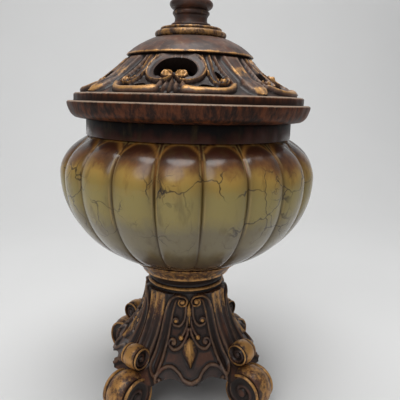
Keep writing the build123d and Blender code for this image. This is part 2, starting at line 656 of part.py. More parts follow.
def subparts():
    """Every node's name and solid."""
    nodes = {
        "pedestal": pedestal(),
        "bowl_seat": bowl_seat(),
        "bowl": bowl(),
        "tie_bolt": tie_bolt(),
        "bowl_washer": bowl_washer(),
        "clamp_washer": clamp_washer(),
        "clamp_nut": clamp_nut(),
        "lid_seal_ring": lid_seal_ring(),
        "lid_rim": lid_rim(),
        "lid_cone": lid_cone(),
        "lid_cap": lid_cap(),
        "finial": finial(),
        "finial_stud": finial_stud(),
        "finial_washer": finial_washer(),
        "finial_nut": finial_nut(),
    }
    for turn, name in zip(QUARTERS, CORNER_NAMES):
        nodes["felt_pad_" + name] = felt_pad(CORNER_TURN + turn)
    return nodes


os.makedirs("parts", exist_ok=True)
for name, solid in subparts().items():
    export_step(solid, os.path.join("parts", name + ".step"))
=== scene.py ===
import math

import bmesh
import bpy
import numpy as np
from bpy.props import FloatProperty, FloatVectorProperty, IntProperty, PointerProperty
from bpy.types import Operator, Panel, PropertyGroup
from mathutils import Matrix, Vector, noise


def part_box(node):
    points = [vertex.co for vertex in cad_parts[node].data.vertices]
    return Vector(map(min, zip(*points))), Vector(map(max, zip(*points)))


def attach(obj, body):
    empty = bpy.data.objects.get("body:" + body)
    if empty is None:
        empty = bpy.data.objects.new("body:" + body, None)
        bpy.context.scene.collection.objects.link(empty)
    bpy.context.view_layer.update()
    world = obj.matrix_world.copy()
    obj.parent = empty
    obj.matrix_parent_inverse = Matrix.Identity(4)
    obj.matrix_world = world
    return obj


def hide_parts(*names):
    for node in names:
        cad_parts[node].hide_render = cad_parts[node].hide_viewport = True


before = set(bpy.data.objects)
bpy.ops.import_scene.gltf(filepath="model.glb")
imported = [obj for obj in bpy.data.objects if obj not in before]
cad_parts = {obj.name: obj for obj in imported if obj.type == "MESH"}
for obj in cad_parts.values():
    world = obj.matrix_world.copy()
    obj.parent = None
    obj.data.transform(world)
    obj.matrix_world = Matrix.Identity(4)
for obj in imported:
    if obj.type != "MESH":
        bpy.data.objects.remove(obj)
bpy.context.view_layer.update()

bl_info = {
    "name": "Covered Urn",
    "version": (1, 0, 0),
    "blender": (4, 5, 0),
    "location": "View3D > Sidebar > Urn",
    "description": "Builds a lobed glazed urn on a scroll-footed pedestal, with a carved and pierced lid",
    "category": "Add Mesh",
}

MM = 0.001
QUARTER = math.pi / 2
SMOOTH_ANGLE = math.radians(50)

# Radius of the holes for the bolt and the stud
BORE = 4.3 * MM

# Heights taken from the construction
FLOOR_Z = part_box("pedestal")[0].z
NECK_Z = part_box("bowl_seat")[0].z
BOWL_Z, LIP_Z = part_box("bowl")[0].z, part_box("bowl")[1].z
PLUG_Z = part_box("lid_rim")[0].z
CONE_Z, CONE_TOP_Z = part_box("lid_cone")[0].z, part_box("lid_cone")[1].z
CAP_Z, CAP_TOP_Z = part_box("lid_cap")[0].z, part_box("lid_cap")[1].z
FINIAL_TOP_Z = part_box("finial")[1].z


def length(name, default, description):
    """A size property in metres, given in millimetres."""
    return FloatProperty(name=name, description=description, default=default * MM, unit="LENGTH", precision=4)


def tint(name, default, description):
    """A colour property, as linear red, green and blue."""
    return FloatVectorProperty(
        name=name, description=description, default=default, size=3, min=0, max=1, subtype="COLOR"
    )


def bearing(name, default, description):
    """An angle property, given in degrees."""
    return FloatProperty(name=name, description=description, default=math.radians(default), subtype="ANGLE")


class UrnBowlSizes(PropertyGroup):
    """Sizes of the lobed bowl and of the ring that it sits on."""

    radius: length("Radius", 100.4, "Radius over the lobes at the widest ring")
    belly_depth: length("Belly depth", 77.9, "Half height of the ellipse below the widest ring")
    shoulder_depth: length("Shoulder depth", 48, "Half height of the ellipse above the widest ring")
    foot_radius: length("Foot radius", 46, "Radius where the bowl meets its seat")
    collar_radius: length("Collar radius", 80.3, "Outside radius of the plain collar")
    collar_height: length("Collar height", 13, "Height of the plain collar")
    fullness: FloatProperty(
        name="Fullness", description="2 for an ellipse below the widest ring, more for a fuller belly",
        default=2.1, min=2, max=3,
    )
    wall: length("Wall", 6, "Thickness of the wall")
    lobes: IntProperty(name="Lobes", description="Lobes round the bowl", default=20, min=4)
    lobe_depth: length("Lobe depth", 4.2, "Depth of the valleys between the lobes")
    lobe_arch: length("Lobe arch", 12, "Height of the rounded top of a lobe")
    seat_radius: length("Seat radius", 47, "Radius of the seat's band under the bowl")
    seat_band: length("Seat band foot", 36, "Radius at the lower edge of that band")
    seat_band_height: length("Seat band height", 11.5, "Height of that band")
    seat_waist: length("Seat waist", 29.6, "Radius of the seat's waist")


class UrnPedestalSizes(PropertyGroup):
    """Sizes of the hollow pedestal and its corner scrolls."""

    neck_reach: length("Neck reach", 31.4, "From the axis to a face at the neck")
    face_flare: length("Face flare", 30.6, "How far a face sweeps out by its lower edge")
    corner_reach: length("Corner reach", 33, "From the axis to a corner at the neck")
    corner_flare: length("Corner flare", 31, "How far a corner sweeps out by its lower edge")
    apron_z: length("Apron height", 29.5, "Height of the lower edge of a face")
    arch_rise: length("Arch rise", 5.5, "Rise of the arches in that edge")
    wall: length("Wall", 6, "Thickness of the casting")
    plate: length("Plate", 8, "Thickness of the top plate")
    strip_rise: length("Ribbon rise", 1.9, "How far a corner ribbon stands proud at the neck")
    strip_low_rise: length("Ribbon low rise", 4.4, "How far it stands proud beside the volute")
    strip_half: length("Ribbon half width", 8.2, "Half the width of a corner ribbon")
    volute_reach: length("Volute reach", 60, "From the axis to the middle of a volute")
    volute_z: length("Volute height", 45.5, "Height of the middle of a volute")
    volute_radius: length("Volute radius", 9.5, "Radius of a volute")
    volute_width: length("Volute width", 16, "Length of a volute")
    foot_reach: length("Foot reach", 68.5, "From the axis to the middle of a foot scroll")
    foot_z: length("Foot height", 18, "Height of the middle of a foot scroll")
    foot_radius: length("Foot radius", 17.7, "Radius of a foot scroll")
    foot_width: length("Foot width", 25, "Width of a foot scroll")


class UrnLidSizes(PropertyGroup):
    """Sizes of the pierced lid, its cap and its finial."""

    turn: bearing("Turn", -15, "Turn of the carved panels from the front")
    plug_radius: length("Plug radius", 72, "Outside radius of the plug in the bowl's mouth")
    plug_wall: length("Plug wall", 5, "Thickness of the plug")
    rim_radius: length("Rim radius", 94.2, "Outside radius of the rounded rim")
    rim_inner: length("Rim inner radius", 81.6, "Inside radius of the rim's drop")
    rim_low: length("Rim underside", 227.26, "Height of the rim's underside")
    rim_top: length("Rim top", 240.26, "Height of the rim's upper edge")
    step_radius: length("Step radius", 88.8, "Radius of the step on the rim")
    cone_radius: length("Cone radius", 84.8, "Radius of the carved cone at its foot")
    cone_top: length("Cone top radius", 46, "Radius of the cone at its top")
    cone_sag: length("Cone sag", 2.5, "How far the cone's slope is hollowed")
    cone_wall: length("Cone wall", 8.4, "Thickness of the carved wall")
    cone_sink: length("Cone sink", 1.4, "How far the panels lie below the plain cone")
    brim_radius: length("Brim radius", 49, "Radius of the cap's brim")
    disc_radius: length("Disc radius", 27.5, "Radius of the cap's two-stepped disc")


class UrnFinishes(PropertyGroup):
    """Colours of the urn's finishes."""

    # Painted shade: the resin's colour in hollows, openings and shaded places of the carving
    shadow: tint("Resin shadow", (0.017, 0.0085, 0.006), "Deep hollows of the cast resin")
    umber: tint("Umber", (0.053, 0.0285, 0.0215), "Main colour of the cast resin")
    russet: tint("Russet", (0.125, 0.036, 0.0125), "Warm patches and streaks of the resin")
    worn: tint("Worn resin", (0.165, 0.094, 0.056), "Greyish wear on raised parts")
    pale: tint("Pale wear", (0.33, 0.24, 0.175), "Pale wear along the rim's edges")
    gold: tint("Gold rub", (0.56, 0.285, 0.083), "Gold rubbed on the raised edges")
    # The collar's near-black is partly painted shade under the lid's rim
    collar: tint("Glaze collar", (0.005, 0.003, 0.003), "Glaze on the collar")
    neck: tint("Glaze neck", (0.045, 0.011, 0.005), "Glaze just below the collar")
    lobe_top: tint("Glaze lobe top", (0.05, 0.0135, 0.006), "Glaze on the rounded tops of the lobes")
    shoulder: tint("Glaze shoulder", (0.17, 0.068, 0.016), "Glaze between the lobe tops and the amber")
    amber: tint("Glaze amber", (0.37, 0.225, 0.05), "Glaze at the shoulder")
    olive: tint("Glaze olive", (0.305, 0.236, 0.068), "Glaze on the belly")
    sage: tint("Glaze sage", (0.19, 0.154, 0.082), "Glaze low on the belly")
    low_belly: tint("Glaze low belly", (0.115, 0.085, 0.045), "Glaze between the sage and the foot")
    foot: tint("Glaze foot", (0.042, 0.021, 0.01), "Glaze next to the seat")
    run: tint("Glaze run", (0.075, 0.045, 0.014), "Runs of darker glaze")
    # Glaze pooled between the lobes, and painted shade there
    valley: tint("Glaze valley", (0.05, 0.024, 0.008), "Glaze that gathers between the lobes")
    # Painted highlight: pale lines beside the valleys
    ridge: tint("Glaze ridge", (0.42, 0.28, 0.095), "Pale lines beside the valleys")
    arc: tint("Glaze arc", (0.36, 0.16, 0.035), "Bright arcs over the lobe tops")
    inside: tint("Glaze inside", (0.02, 0.009, 0.006), "Glaze inside the bowl")
    crackle: tint("Crackle", (0.035, 0.021, 0.008), "Crackle lines in the glaze")
    felt: tint("Felt", (0.06, 0.035, 0.022), "Felt under the feet")
    fibre: tint("Felt fibre", (0.12, 0.075, 0.05), "Lighter fibres of the felt")
    rubber: tint("Rubber", (0.03, 0.026, 0.025), "Soft ring and washer")
    bloom: tint("Rubber bloom", (0.08, 0.075, 0.07), "Dusty bloom on the rubber")
    steel: tint("Steel", (0.62, 0.62, 0.6), "Plated bolt, stud, nuts and washers")
    brushed: tint("Brushed steel", (0.4, 0.4, 0.39), "Darker strokes in the steel")
    floor: tint("Floor", (0.76, 0.76, 0.755), "Floor and backdrop")


class UrnStageSizes(PropertyGroup):
    """Camera and room light."""

    focal: FloatProperty(
        name="Lens", description="Focal length on a 36 mm sensor", default=42.3, unit="CAMERA"
    )
    distance: length("Camera distance", 381.9, "From the urn's axis to the camera, level")
    camera_z: length("Camera height", 242.1, "Height of the camera over the floor")
    azimuth: bearing("Azimuth", -5.6, "Camera's turn about the urn's axis")
    heading: bearing("Heading", 7.17, "Direction in which the camera looks, from straight back")
    tilt: bearing("Tilt", 11.9, "How far the camera looks down")
    roll: bearing("Roll", 1.5, "Camera's turn about its own view")
    room_tint: tint("Room tint", (0.95, 0.97, 1), "Colour of the light from all round")
    room_light: FloatProperty(
        name="Room light", description="Strength of the light from all round", default=0.2, min=0
    )


class Paint:
    """A value or colour on its way through a finish; sums on values add Math nodes."""

    def __init__(self, finish, socket):
        self.finish = finish
        self.socket = socket

    def math(self, operation, *terms):
        return self.finish.node("ShaderNodeMath", dict(enumerate(terms)), operation=operation)

    def __add__(self, other):
        return self.math("ADD", self, other)

    __radd__ = __add__

    def __sub__(self, other):
        return self.math("SUBTRACT", self, other)

    def __rsub__(self, other):
        return self.math("SUBTRACT", other, self)

    def __mul__(self, other):
        return self.math("MULTIPLY", self, other)

    __rmul__ = __mul__

    def __truediv__(self, other):
        return self.math("DIVIDE", self, other)

    def __rtruediv__(self, other):
        return self.math("DIVIDE", other, self)

    def step(self, low, high):
        """0 below the low value, 1 above the high one, and smooth between."""
        return self.finish.node(
            "ShaderNodeMapRange",
            {"Value": self, "From Min": low, "From Max": high},
            interpolation_type="SMOOTHSTEP",
        )


class Finish:
    """One material, built up from nodes."""

    def __init__(self, name):
        self.tints = bpy.context.scene.urn_finishes
        self.material = bpy.data.materials.new(name)
        self.material.use_nodes = True
        self.tree = self.material.node_tree
        self.tree.nodes.clear()
        self.place = self.node("ShaderNodeTexCoord", output="Object")

    def node(self, kind, sockets=(), output=0, stops=(), **settings):
        """Adds a node with its settings, fills its sockets and gives one of its outputs."""
        made = self.tree.nodes.new(kind)
        for key, value in settings.items():
            setattr(made, key, value)
        if stops:
            ramp = made.color_ramp.elements
            while len(ramp) < len(stops):
                ramp.new(1.0)
            for element, (position, colour) in zip(ramp, stops):
                element.position = position
                element.color = (*colour, 1)
        for key, value in dict(sockets).items():
            if isinstance(value, Paint):
                self.tree.links.new(value.socket, made.inputs[key])
            elif made.inputs[key].type == "RGBA":
                made.inputs[key].default_value = (*value, 1)
            else:
                made.inputs[key].default_value = value
        return Paint(self, made.outputs[output]) if len(made.outputs) else made

    def attribute(self, name):
        return self.node("ShaderNodeAttribute", output="Fac", attribute_name=name)

    def height(self):
        return self.node("ShaderNodeSeparateXYZ", {0: self.place}, output="Z")

    def noise(self, size, detail, roughness=0.6, stretch=(1, 1, 1)):
        """Cloudy value whose patches measure about the given size in metres."""
        scale = [part / size for part in stretch]
        stretched = self.node("ShaderNodeMapping", {"Vector": self.place, "Scale": scale})
        sockets = {"Vector": stretched, "Scale": 1.0, "Detail": detail, "Roughness": roughness}
        return self.node("ShaderNodeTexNoise", sockets)

    def mix(self, factor, first, second):
        """First colour where the factor is 0, second where it is 1."""
        sockets = {0: factor, 6: first, 7: second}
        return self.node("ShaderNodeMix", sockets, output=2, data_type="RGBA")

    def cracks(self, place, scale, width):
        """1 along the edges between the cells of a net, with about so many cells to the metre."""
        gap = self.node("ShaderNodeTexVoronoi", {"Vector": place, "Scale": scale}, output="Distance",
                        feature="DISTANCE_TO_EDGE")
        return 1 - gap.step(width * 0.2, width)

    def bump(self, height, distance, strength):
        sockets = {"Strength": strength, "Distance": distance, "Height": height}
        return self.node("ShaderNodeBump", sockets)

    def surface(self, **sockets):
        """Ends the finish in one plain surface shader and gives the material."""
        named = {key.replace("_", " "): value for key, value in sockets.items()}
        shader = self.node("ShaderNodeBsdfPrincipled", named)
        self.node("ShaderNodeOutputMaterial", {"Surface": shader})
        return self.material


def rubbed_resin(name, gold_share=0.5, wear_share=0.5):
    """Dark cast resin: painted shade where the attribute rise is low, worn where it is high, and rubbed with
    gold where gilt marks.
    """
    finish = Finish(name)
    tints = finish.tints
    gilt, rise = finish.attribute("gilt"), finish.attribute("rise")
    cloud = finish.noise(0.014, detail=4)
    grain = finish.noise(0.0014, detail=2)
    strokes = finish.noise(0.0036, detail=4, stretch=(1, 1, 0.4))
    # Painted shade: low rise turns the body to the shadow tint
    body = finish.mix((rise + (cloud - 0.5) * 0.5).step(0.16, 0.5), tints.shadow, tints.umber)
    body = finish.mix(cloud.step(0.44, 0.66) * rise.step(0.2, 0.5) * 0.7, body, tints.russet)
    wear = (rise + (strokes - 0.5) * 1.3 + (cloud - 0.5) * 0.5 + (wear_share - 0.5)).step(0.5, 1.0)
    body = finish.mix(wear * 0.8, body, tints.worn)
    rub = (gilt + (strokes - 0.5) * 1.5 + (grain - 0.5) * 0.6 + (gold_share - 0.5)).step(0.4, 0.95)
    return finish.surface(
        Base_Color=finish.mix(rub * 0.9, body, tints.gold),
        Roughness=0.48 - rub * 0.12 + grain * 0.1,
        Specular_IOR_Level=0.3,
        Metallic=rub * 0.4,
        Normal=finish.bump(strokes * 0.6 + grain * 0.4, 0.0005, 0.6),
        Coat_Weight=0.25,
        Coat_Roughness=0.25,
    )


def streaked_resin(name):
    """Red-brown resin with short upright streaks like wood, rubbed pale along its edges, with painted shade
    where the attribute rise is low.
    """
    finish = Finish(name)
    tints = finish.tints
    cloud = finish.noise(0.03, detail=3)
    streak = finish.noise(0.0042, detail=5, roughness=0.7, stretch=(1, 1, 0.2))
    fleck = finish.noise(0.0018, detail=3, stretch=(1, 1, 0.25))
    body = finish.mix((streak + (cloud - 0.5) * 0.6).step(0.36, 0.68), tints.shadow, tints.russet)
    body = finish.mix(fleck.step(0.55, 0.75) * cloud.step(0.4, 0.65) * 0.35, body, tints.worn)
    # Painted shade: low rise turns the body to the shadow tint
    body = finish.mix(finish.attribute("rise").step(0.0, 0.45), tints.shadow, body)
    rub = (finish.attribute("gilt") + (fleck - 0.5) * 0.9 + (cloud - 0.5) * 0.6).step(0.4, 0.9)
    return finish.surface(
        Base_Color=finish.mix(rub * 0.85, body, tints.pale),
        Roughness=0.45 + fleck * 0.12,
        Specular_IOR_Level=0.08,
        Normal=finish.bump(streak * 0.7 + fleck * 0.3, 0.0004, 0.4),
        Coat_Weight=0.13,
        Coat_Roughness=0.2,
    )


def crackle_glaze(name):
    """Glossy glaze that runs from a dark collar through amber and olive to sage, with crackle lines, painted
    shade between the lobes and painted highlights beside the valleys.
    """
    finish = Finish(name)
    tints = finish.tints
    inside, hollow, crease = (finish.attribute(layer) for layer in ("inside", "hollow", "crease"))
    cloud = finish.noise(0.03, detail=4)
    runs = finish.noise(0.008, detail=4, stretch=(1, 1, 0.28))
    level = finish.height() + (cloud - 0.5) * 0.022 + (runs - 0.5) * 0.014
    share = (level - BOWL_Z) / (LIP_Z - BOWL_Z)
    # The ramp's top runs from the reddish neck to the near-black collar, partly painted shade under the lid's
    # rim
    colour = finish.node("ShaderNodeValToRGB", {0: share}, stops=[
        (0.07, tints.foot), (0.17, tints.low_belly), (0.25, tints.sage), (0.37, tints.sage),
        (0.475, tints.olive), (0.58, tints.olive), (0.69, tints.amber), (0.765, tints.shoulder),
        (0.825, tints.lobe_top), (0.9, tints.neck), (0.955, tints.collar),
    ])
    colour = finish.mix(runs.step(0.5, 0.7) * 0.4, colour, tints.run)
    # Glaze pooled between the lobes, darkened further as painted shade on the lobes' sides
    pooled_and_shaded = hollow * (0.12 + runs * 0.35 + share.step(0.4, 0.75) * 0.35)
    colour = finish.mix(pooled_and_shaded, colour, tints.valley)
    # Painted highlight: a pale line beside each valley
    ridge = hollow.step(0.58, 0.72) * (1 - hollow.step(0.76, 0.9)) * share.step(0.28, 0.45)
    colour = finish.mix(ridge * runs.step(0.4, 0.6) * 0.5, colour, tints.ridge)
    # Painted shade in the valley creases below the shoulder
    colour = finish.mix(crease * (1 - share.step(0.7, 0.8)) * 0.65, colour, tints.valley)
    bright = crease * finish.noise(0.012, detail=3, stretch=(1, 1, 0.4)).step(0.3, 0.5)
    colour = finish.mix(bright * share.step(0.66, 0.82) * 0.85, colour, tints.arc)
    colour = finish.mix(inside, colour, tints.inside)
    zone = share.step(0.22, 0.36) * (1 - share.step(0.7, 0.78)) * (1 - inside)
    bend = finish.node("ShaderNodeTexNoise", {"Vector": finish.place, "Scale": 60.0, "Detail": 3.0}, output=1)
    spread = finish.node("ShaderNodeVectorMath", {0: bend, 3: 0.022}, operation="SCALE")
    moved = finish.node("ShaderNodeVectorMath", {0: finish.place, 1: spread}, operation="ADD")
    line = finish.cracks(moved, 40, 0.026) * finish.noise(0.06, detail=2).step(0.38, 0.5)
    line = line + finish.cracks(moved, 95, 0.034) * finish.noise(0.03, detail=2).step(0.52, 0.62) * 0.7
    line = line * zone
    return finish.surface(
        Base_Color=finish.mix(line * 0.8, colour, tints.crackle),
        Roughness=0.4 + cloud * 0.1,
        Specular_IOR_Level=0.12,
        Normal=finish.bump(0 - line + runs * 0.25 + cloud * 0.3, 0.0004, 0.5),
        Coat_Weight=1.0 - share.step(0.86, 0.93) * 0.94,
        Coat_Roughness=0.21,
        Coat_IOR=1.45,
    )


def plain_metal(name):
    """Brushed and plated steel."""
    finish = Finish(name)
    strokes = finish.noise(0.002, detail=4, stretch=(1, 1, 0.1))
    colour = finish.mix(strokes, finish.tints.brushed, finish.tints.steel)
    return finish.surface(Base_Color=colour, Metallic=1.0, Roughness=0.28 + strokes * 0.2)


def soft_rubber(name):
    """Matt rubber with a fine dusty bloom."""
    finish = Finish(name)
    bloom = finish.noise(0.006, detail=4)
    colour = finish.mix(bloom * 0.4, finish.tints.rubber, finish.tints.bloom)
    return finish.surface(Base_Color=colour, Roughness=0.7 + bloom * 0.15)


def pressed_felt(name):
    """Brown felt with matted fibres."""
    finish = Finish(name)
    fibre = finish.noise(0.0007, detail=4, roughness=0.8)
    colour = finish.mix(fibre.step(0.3, 0.7), finish.tints.felt, finish.tints.fibre)
    return finish.surface(Base_Color=colour, Roughness=0.95, Normal=finish.bump(fibre, 0.0004, 0.8))


def backdrop_paper(name):
    """Pale matt floor that sweeps up behind the urn."""
    finish = Finish(name)
    pale = finish.tints.floor
    colour = finish.mix(finish.noise(0.25, detail=2), pale, [part * 0.95 for part in pale])
    return finish.surface(Base_Color=colour, Roughness=0.8)


def mm(*points):
    """Points drawn in millimetres, as an array in metres."""
    return np.array(points, float) * MM


def spot(radius, height):
    """Corner of an outline, from which its points are measured."""
    return np.array([radius, height])


def arc(centre, radii, start, stop, steps):
    """Points along an ellipse's arc, from one angle to another in degrees."""
    turns = np.radians(np.linspace(start, stop, steps + 1))
    return [(centre[0] + radii[0] * math.cos(a), centre[1] + radii[1] * math.sin(a)) for a in turns]


def flowing(points, steps=8):
    """Smooth path through a few points."""
    points = np.asarray(points, float)
    ends = np.vstack([2 * points[0] - points[1], points, 2 * points[-1] - points[-2]])
    path = []
    for before, start, stop, after in zip(ends, ends[1:], ends[2:], ends[3:]):
        for t in np.linspace(0, 1, steps, endpoint=False):
            pull = (2 * start + (stop - before) * t
                    + (2 * before - 5 * start + 4 * stop - after) * t ** 2
                    + (3 * start - before - 3 * stop + after) * t ** 3)
            path.append(pull / 2)
    return np.array(path + [points[-1]])


def curled(path, centre, turns, inner=0.3, steps=28):
    """The path followed by a spiral that winds in from its end round a centre; turns are signed."""
    arm = path[-1] - centre
    radius, start = math.hypot(*arm), math.atan2(arm[1], arm[0])
    spiral = []
    for share in np.linspace(0, 1, steps)[1:]:
        reach = radius * (1 - (1 - inner) * share)
        angle = start + turns * math.tau * share
        spiral.append(centre + reach * np.array([math.cos(angle), math.sin(angle)]))
    return np.vstack([path, spiral])


def nearest(spots, path):
    """Each spot's distance from a path, how far along the path its nearest point lies, and that point."""
    start, run = path[:-1], np.diff(path, axis=0)
    size = np.maximum((run ** 2).sum(1), 1e-15)
    along = (((spots[:, None] - start) * run).sum(2) / size).clip(0, 1)
    ends = start + along[..., None] * run
    gap = np.linalg.norm(spots[:, None] - ends, axis=2)
    best, rows = gap.argmin(1), np.arange(len(spots))
    return gap[rows, best], (best + along[rows, best]) / len(run), ends[rows, best]


def smooth(value, low, high):
    """0 below the low value, 1 above the high one, and smooth between."""
    share = np.clip((value - low) / (high - low), 0, 1)
    return share * share * (3 - 2 * share)


class Relief:
    """Carving over flat spots, in millimetres: how far each stands proud, and the gold it takes."""

    def __init__(self, spots):
        self.spots = spots
        self.proud = np.zeros(len(spots))
        self.gilt = np.zeros(len(spots))

    def lay(self, proud, gilt):
        """Keeps the higher of the carving so far and a new form."""
        wins = proud > self.proud
        self.proud = np.where(wins, proud, self.proud)
        self.gilt = np.where(wins, gilt, self.gilt)

    def stroke(self, path, width, end_width, gilt, end_gilt):
        """Distance from a path, and the half width and gold of a stroke along it."""
        gap, along = nearest(self.spots, path)[:2]
        half = width + ((end_width or width) - width) * along
        return gap, half, gilt + ((gilt if end_gilt is None else end_gilt) - gilt) * along

    def roll(self, path, width, proud, end_width=None, gilt=1.0, end_gilt=None):
        """Half-round stroke along a path."""
        gap, half, gold = self.stroke(path, width, end_width, gilt, end_gilt)
        round_over = np.sqrt(np.clip(1 - (gap / half) ** 2, 0, 1))
        self.lay(proud * round_over * np.sqrt(half / width), gold * smooth(round_over, 0.5, 1))

    def ribbon(self, path, width, proud, end_width=None, gilt=1.0, end_gilt=None, floor=0.4, line=0.8):
        """Stroke with a raised line along each edge and a flat channel between."""
        gap, half, gold = self.stroke(path, width, end_width, gilt, end_gilt)
        edge = np.exp(-((gap - half + 1.1 * line) / line) ** 2)
        body = smooth(half - gap, 0, 0.7 * line)
        self.lay(proud * body * (floor + (1 - floor) * edge), gold * edge * body)

    def boss(self, centre, radius, proud, gilt=1.0):
        """Small dome, such as the eye of a curl."""
        gap = np.linalg.norm(self.spots - centre, axis=1)
        dome = np.sqrt(np.clip(1 - (gap / radius) ** 2, 0, 1))
        self.lay(proud * dome, gilt * smooth(dome, 0.3, 0.9))

    def drop(self, top, foot, width, proud, gilt=1.0, belly=0.8):
        """Pointed drop with a sharp ridge down its middle; a lower belly is wider near its top."""
        axis = np.subtract(foot, top)
        along = ((self.spots - top) @ axis) / (axis @ axis)
        side = np.abs((self.spots - top) @ np.array([-axis[1], axis[0]])) / math.hypot(*axis)
        swell = np.clip(np.sin(np.pi * np.clip(along, 0, 1) ** belly), 0, 1) * width
        inside = np.clip(1 - side / np.maximum(swell, 1e-6), 0, 1)
        gold = gilt * (0.35 + 0.65 * inside) * smooth(inside, 0, 0.4)
        self.lay(proud * inside ** 0.7 * (swell > 0.1), gold)


def wear_and_shade(proud, rows, scale=1.2, reach=4):
    """From 0 in the hollows of a carved grid to 1 on its crests: low values paint shade into the hollows,
    high ones mark rubbed wear on the crests.
    """
    sheet = proud.reshape(rows, -1)
    mean = sheet
    for axis in (0, 1):
        count = mean.shape[axis]
        pad = [(reach, reach) if side == axis else (0, 0) for side in (0, 1)]
        wide = np.pad(mean, pad, mode="edge")
        mean = sum(np.take(wide, range(shift, shift + count), axis) for shift in range(2 * reach + 1))
        mean = mean / (2 * reach + 1)
    return np.clip(0.42 + (sheet - mean).ravel() / scale, 0, 1)


def blank(*layers):
    """Empty form whose points carry gold, wear and painted shade, and more."""
    form = bmesh.new()
    for name in ("gilt", "rise", *layers):
        form.verts.layers.float.new(name)
    return form


def carved_grid(columns, rows, *layers):
    """Flat grid, its points in order, and each point's column and row from 0 to 1."""
    form = blank(*layers)
    bmesh.ops.create_grid(form, x_segments=columns, y_segments=rows, size=1)
    points = sorted(form.verts, key=lambda point: (round(point.co.y, 5), point.co.x))
    lies = np.array([point.co.xy for point in points])
    return form, points, (lies[:, 0] + 1) / 2, (lies[:, 1] + 1) / 2


def placed(form, points, places, relief, rise):
    """Moves the points of a carved grid to their places and stores their gold, and their rise for wear and
    painted shade.
    """
    gilt, wear = form.verts.layers.float["gilt"], form.verts.layers.float["rise"]
    for point, place, gold, height in zip(points, places, relief.gilt, rise):
        point.co = place
        point[gilt] = gold
        point[wear] = height


def mirrored(path):
    """The same path on the other side of the middle line."""
    return path * np.array([-1, 1])


def marked(points, gold=0.0, wear=0.45):
    """Outline points with the gold and the rise (wear, and painted shade where low) that they take, either
    one value or one for each.
    """
    count = len(points)
    return np.column_stack([points, np.broadcast_to(gold, count), np.broadcast_to(wear, count)])


def strung(form, points):
    """Adds a line of points, each with its place, gold and rise for wear and painted shade; gives the points.
    """
    gilt, rise = form.verts.layers.float["gilt"], form.verts.layers.float["rise"]
    made = []
    for *place, gold, wear in points:
        point = form.verts.new(place)
        point[gilt], point[rise] = gold, wear
        made.append(point)
    return made


def turned(steps, *stretches, closed=True):
    """Mesh turned about the Z axis from stretches of an outline, plain or marked."""
    form = blank()
    outline = np.vstack([part if np.shape(part)[1] > 2 else marked(part) for part in stretches])
    corners = strung(form, [(radius, 0, *rest) for radius, *rest in outline])
    pairs = list(zip(corners, corners[1:]))
    if closed:
        pairs.append((corners[-1], corners[0]))
    edges = [form.edges.new(pair) for pair in pairs]
    bmesh.ops.spin(
        form, geom=corners + edges, cent=(0, 0, 0), axis=(0, 0, 1),
        angle=math.tau, steps=steps, use_merge=True,
    )
    return closed_up(form)


def closed_up(form):
    """Joins doubled points and turns every face outwards."""
    bmesh.ops.remove_doubles(form, verts=form.verts, dist=1e-6)
    bmesh.ops.recalc_face_normals(form, faces=form.faces)
    return form


def four_times(form):
    """Repeats the form on all four sides of the axis."""
    geometry = form.verts[:] + form.edges[:] + form.faces[:]
    bmesh.ops.spin(
        form, geom=geometry, cent=(0, 0, 0), axis=(0, 0, 1),
        angle=3 * QUARTER, steps=3, use_duplicate=True,
    )
    return form


def roughened(form, size, amount):
    """Moves every point a little in or out, as on a hand-finished casting."""
    for point in form.verts:
        shift = noise.noise(point.co / size) * amount
        level = Vector((point.co.x, point.co.y, 0))
        if level.length > 0:
            point.co += level.normalized() * shift
    return form


def rotated(form, angle):
    """Turns the form about the Z axis."""
    bmesh.ops.rotate(form, verts=form.verts, cent=(0, 0, 0), matrix=Matrix.Rotation(angle, 3, "Z"))
    return form


def points_in(made):
    """The points among what an operator made."""
    return [part for part in made["geom"] if isinstance(part, bmesh.types.BMVert)]


def linked(name, data):
    """Adds an object with this data to the scene."""
    made = bpy.data.objects.new(name, data)
    bpy.context.collection.objects.link(made)
    return made


def shown(name, form, material):
    """Turns a form into a smooth-shaded object."""
    mesh = bpy.data.meshes.new(name)
    form.to_mesh(mesh)
    form.free()
    mesh.shade_smooth()
    mesh.materials.append(material)
    return linked(name, mesh)


def finished(name, form, material, body, slot, *nodes):
    """Makes a piece that rides on a body and stands for its nodes."""
    piece = shown(name, form, material)
    piece.data.set_sharp_from_angle(angle=SMOOTH_ANGLE)
    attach(piece, body)
    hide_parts(*nodes)


def joined(form, other):
    """Adds another form's geometry to the first."""
    mesh = bpy.data.meshes.new("part")
    other.to_mesh(mesh)
    other.free()
    form.from_mesh(mesh)
    bpy.data.meshes.remove(mesh)
    return form


def bowl_reach(sizes, up):
    """Radius of the bowl at a height over its widest ring."""
    if up > 0:
        return sizes.radius * math.sqrt(max(0, 1 - (up / sizes.shoulder_depth) ** 2))
    return sizes.radius * max(0, 1 - (-up / sizes.belly_depth) ** sizes.fullness) ** (1 / sizes.fullness)


def widest_z(sizes):
    """Height of the bowl's widest ring."""
    share = (1 - (sizes.foot_radius / sizes.radius) ** sizes.fullness) ** (1 / sizes.fullness)
    return BOWL_Z + sizes.belly_depth * share


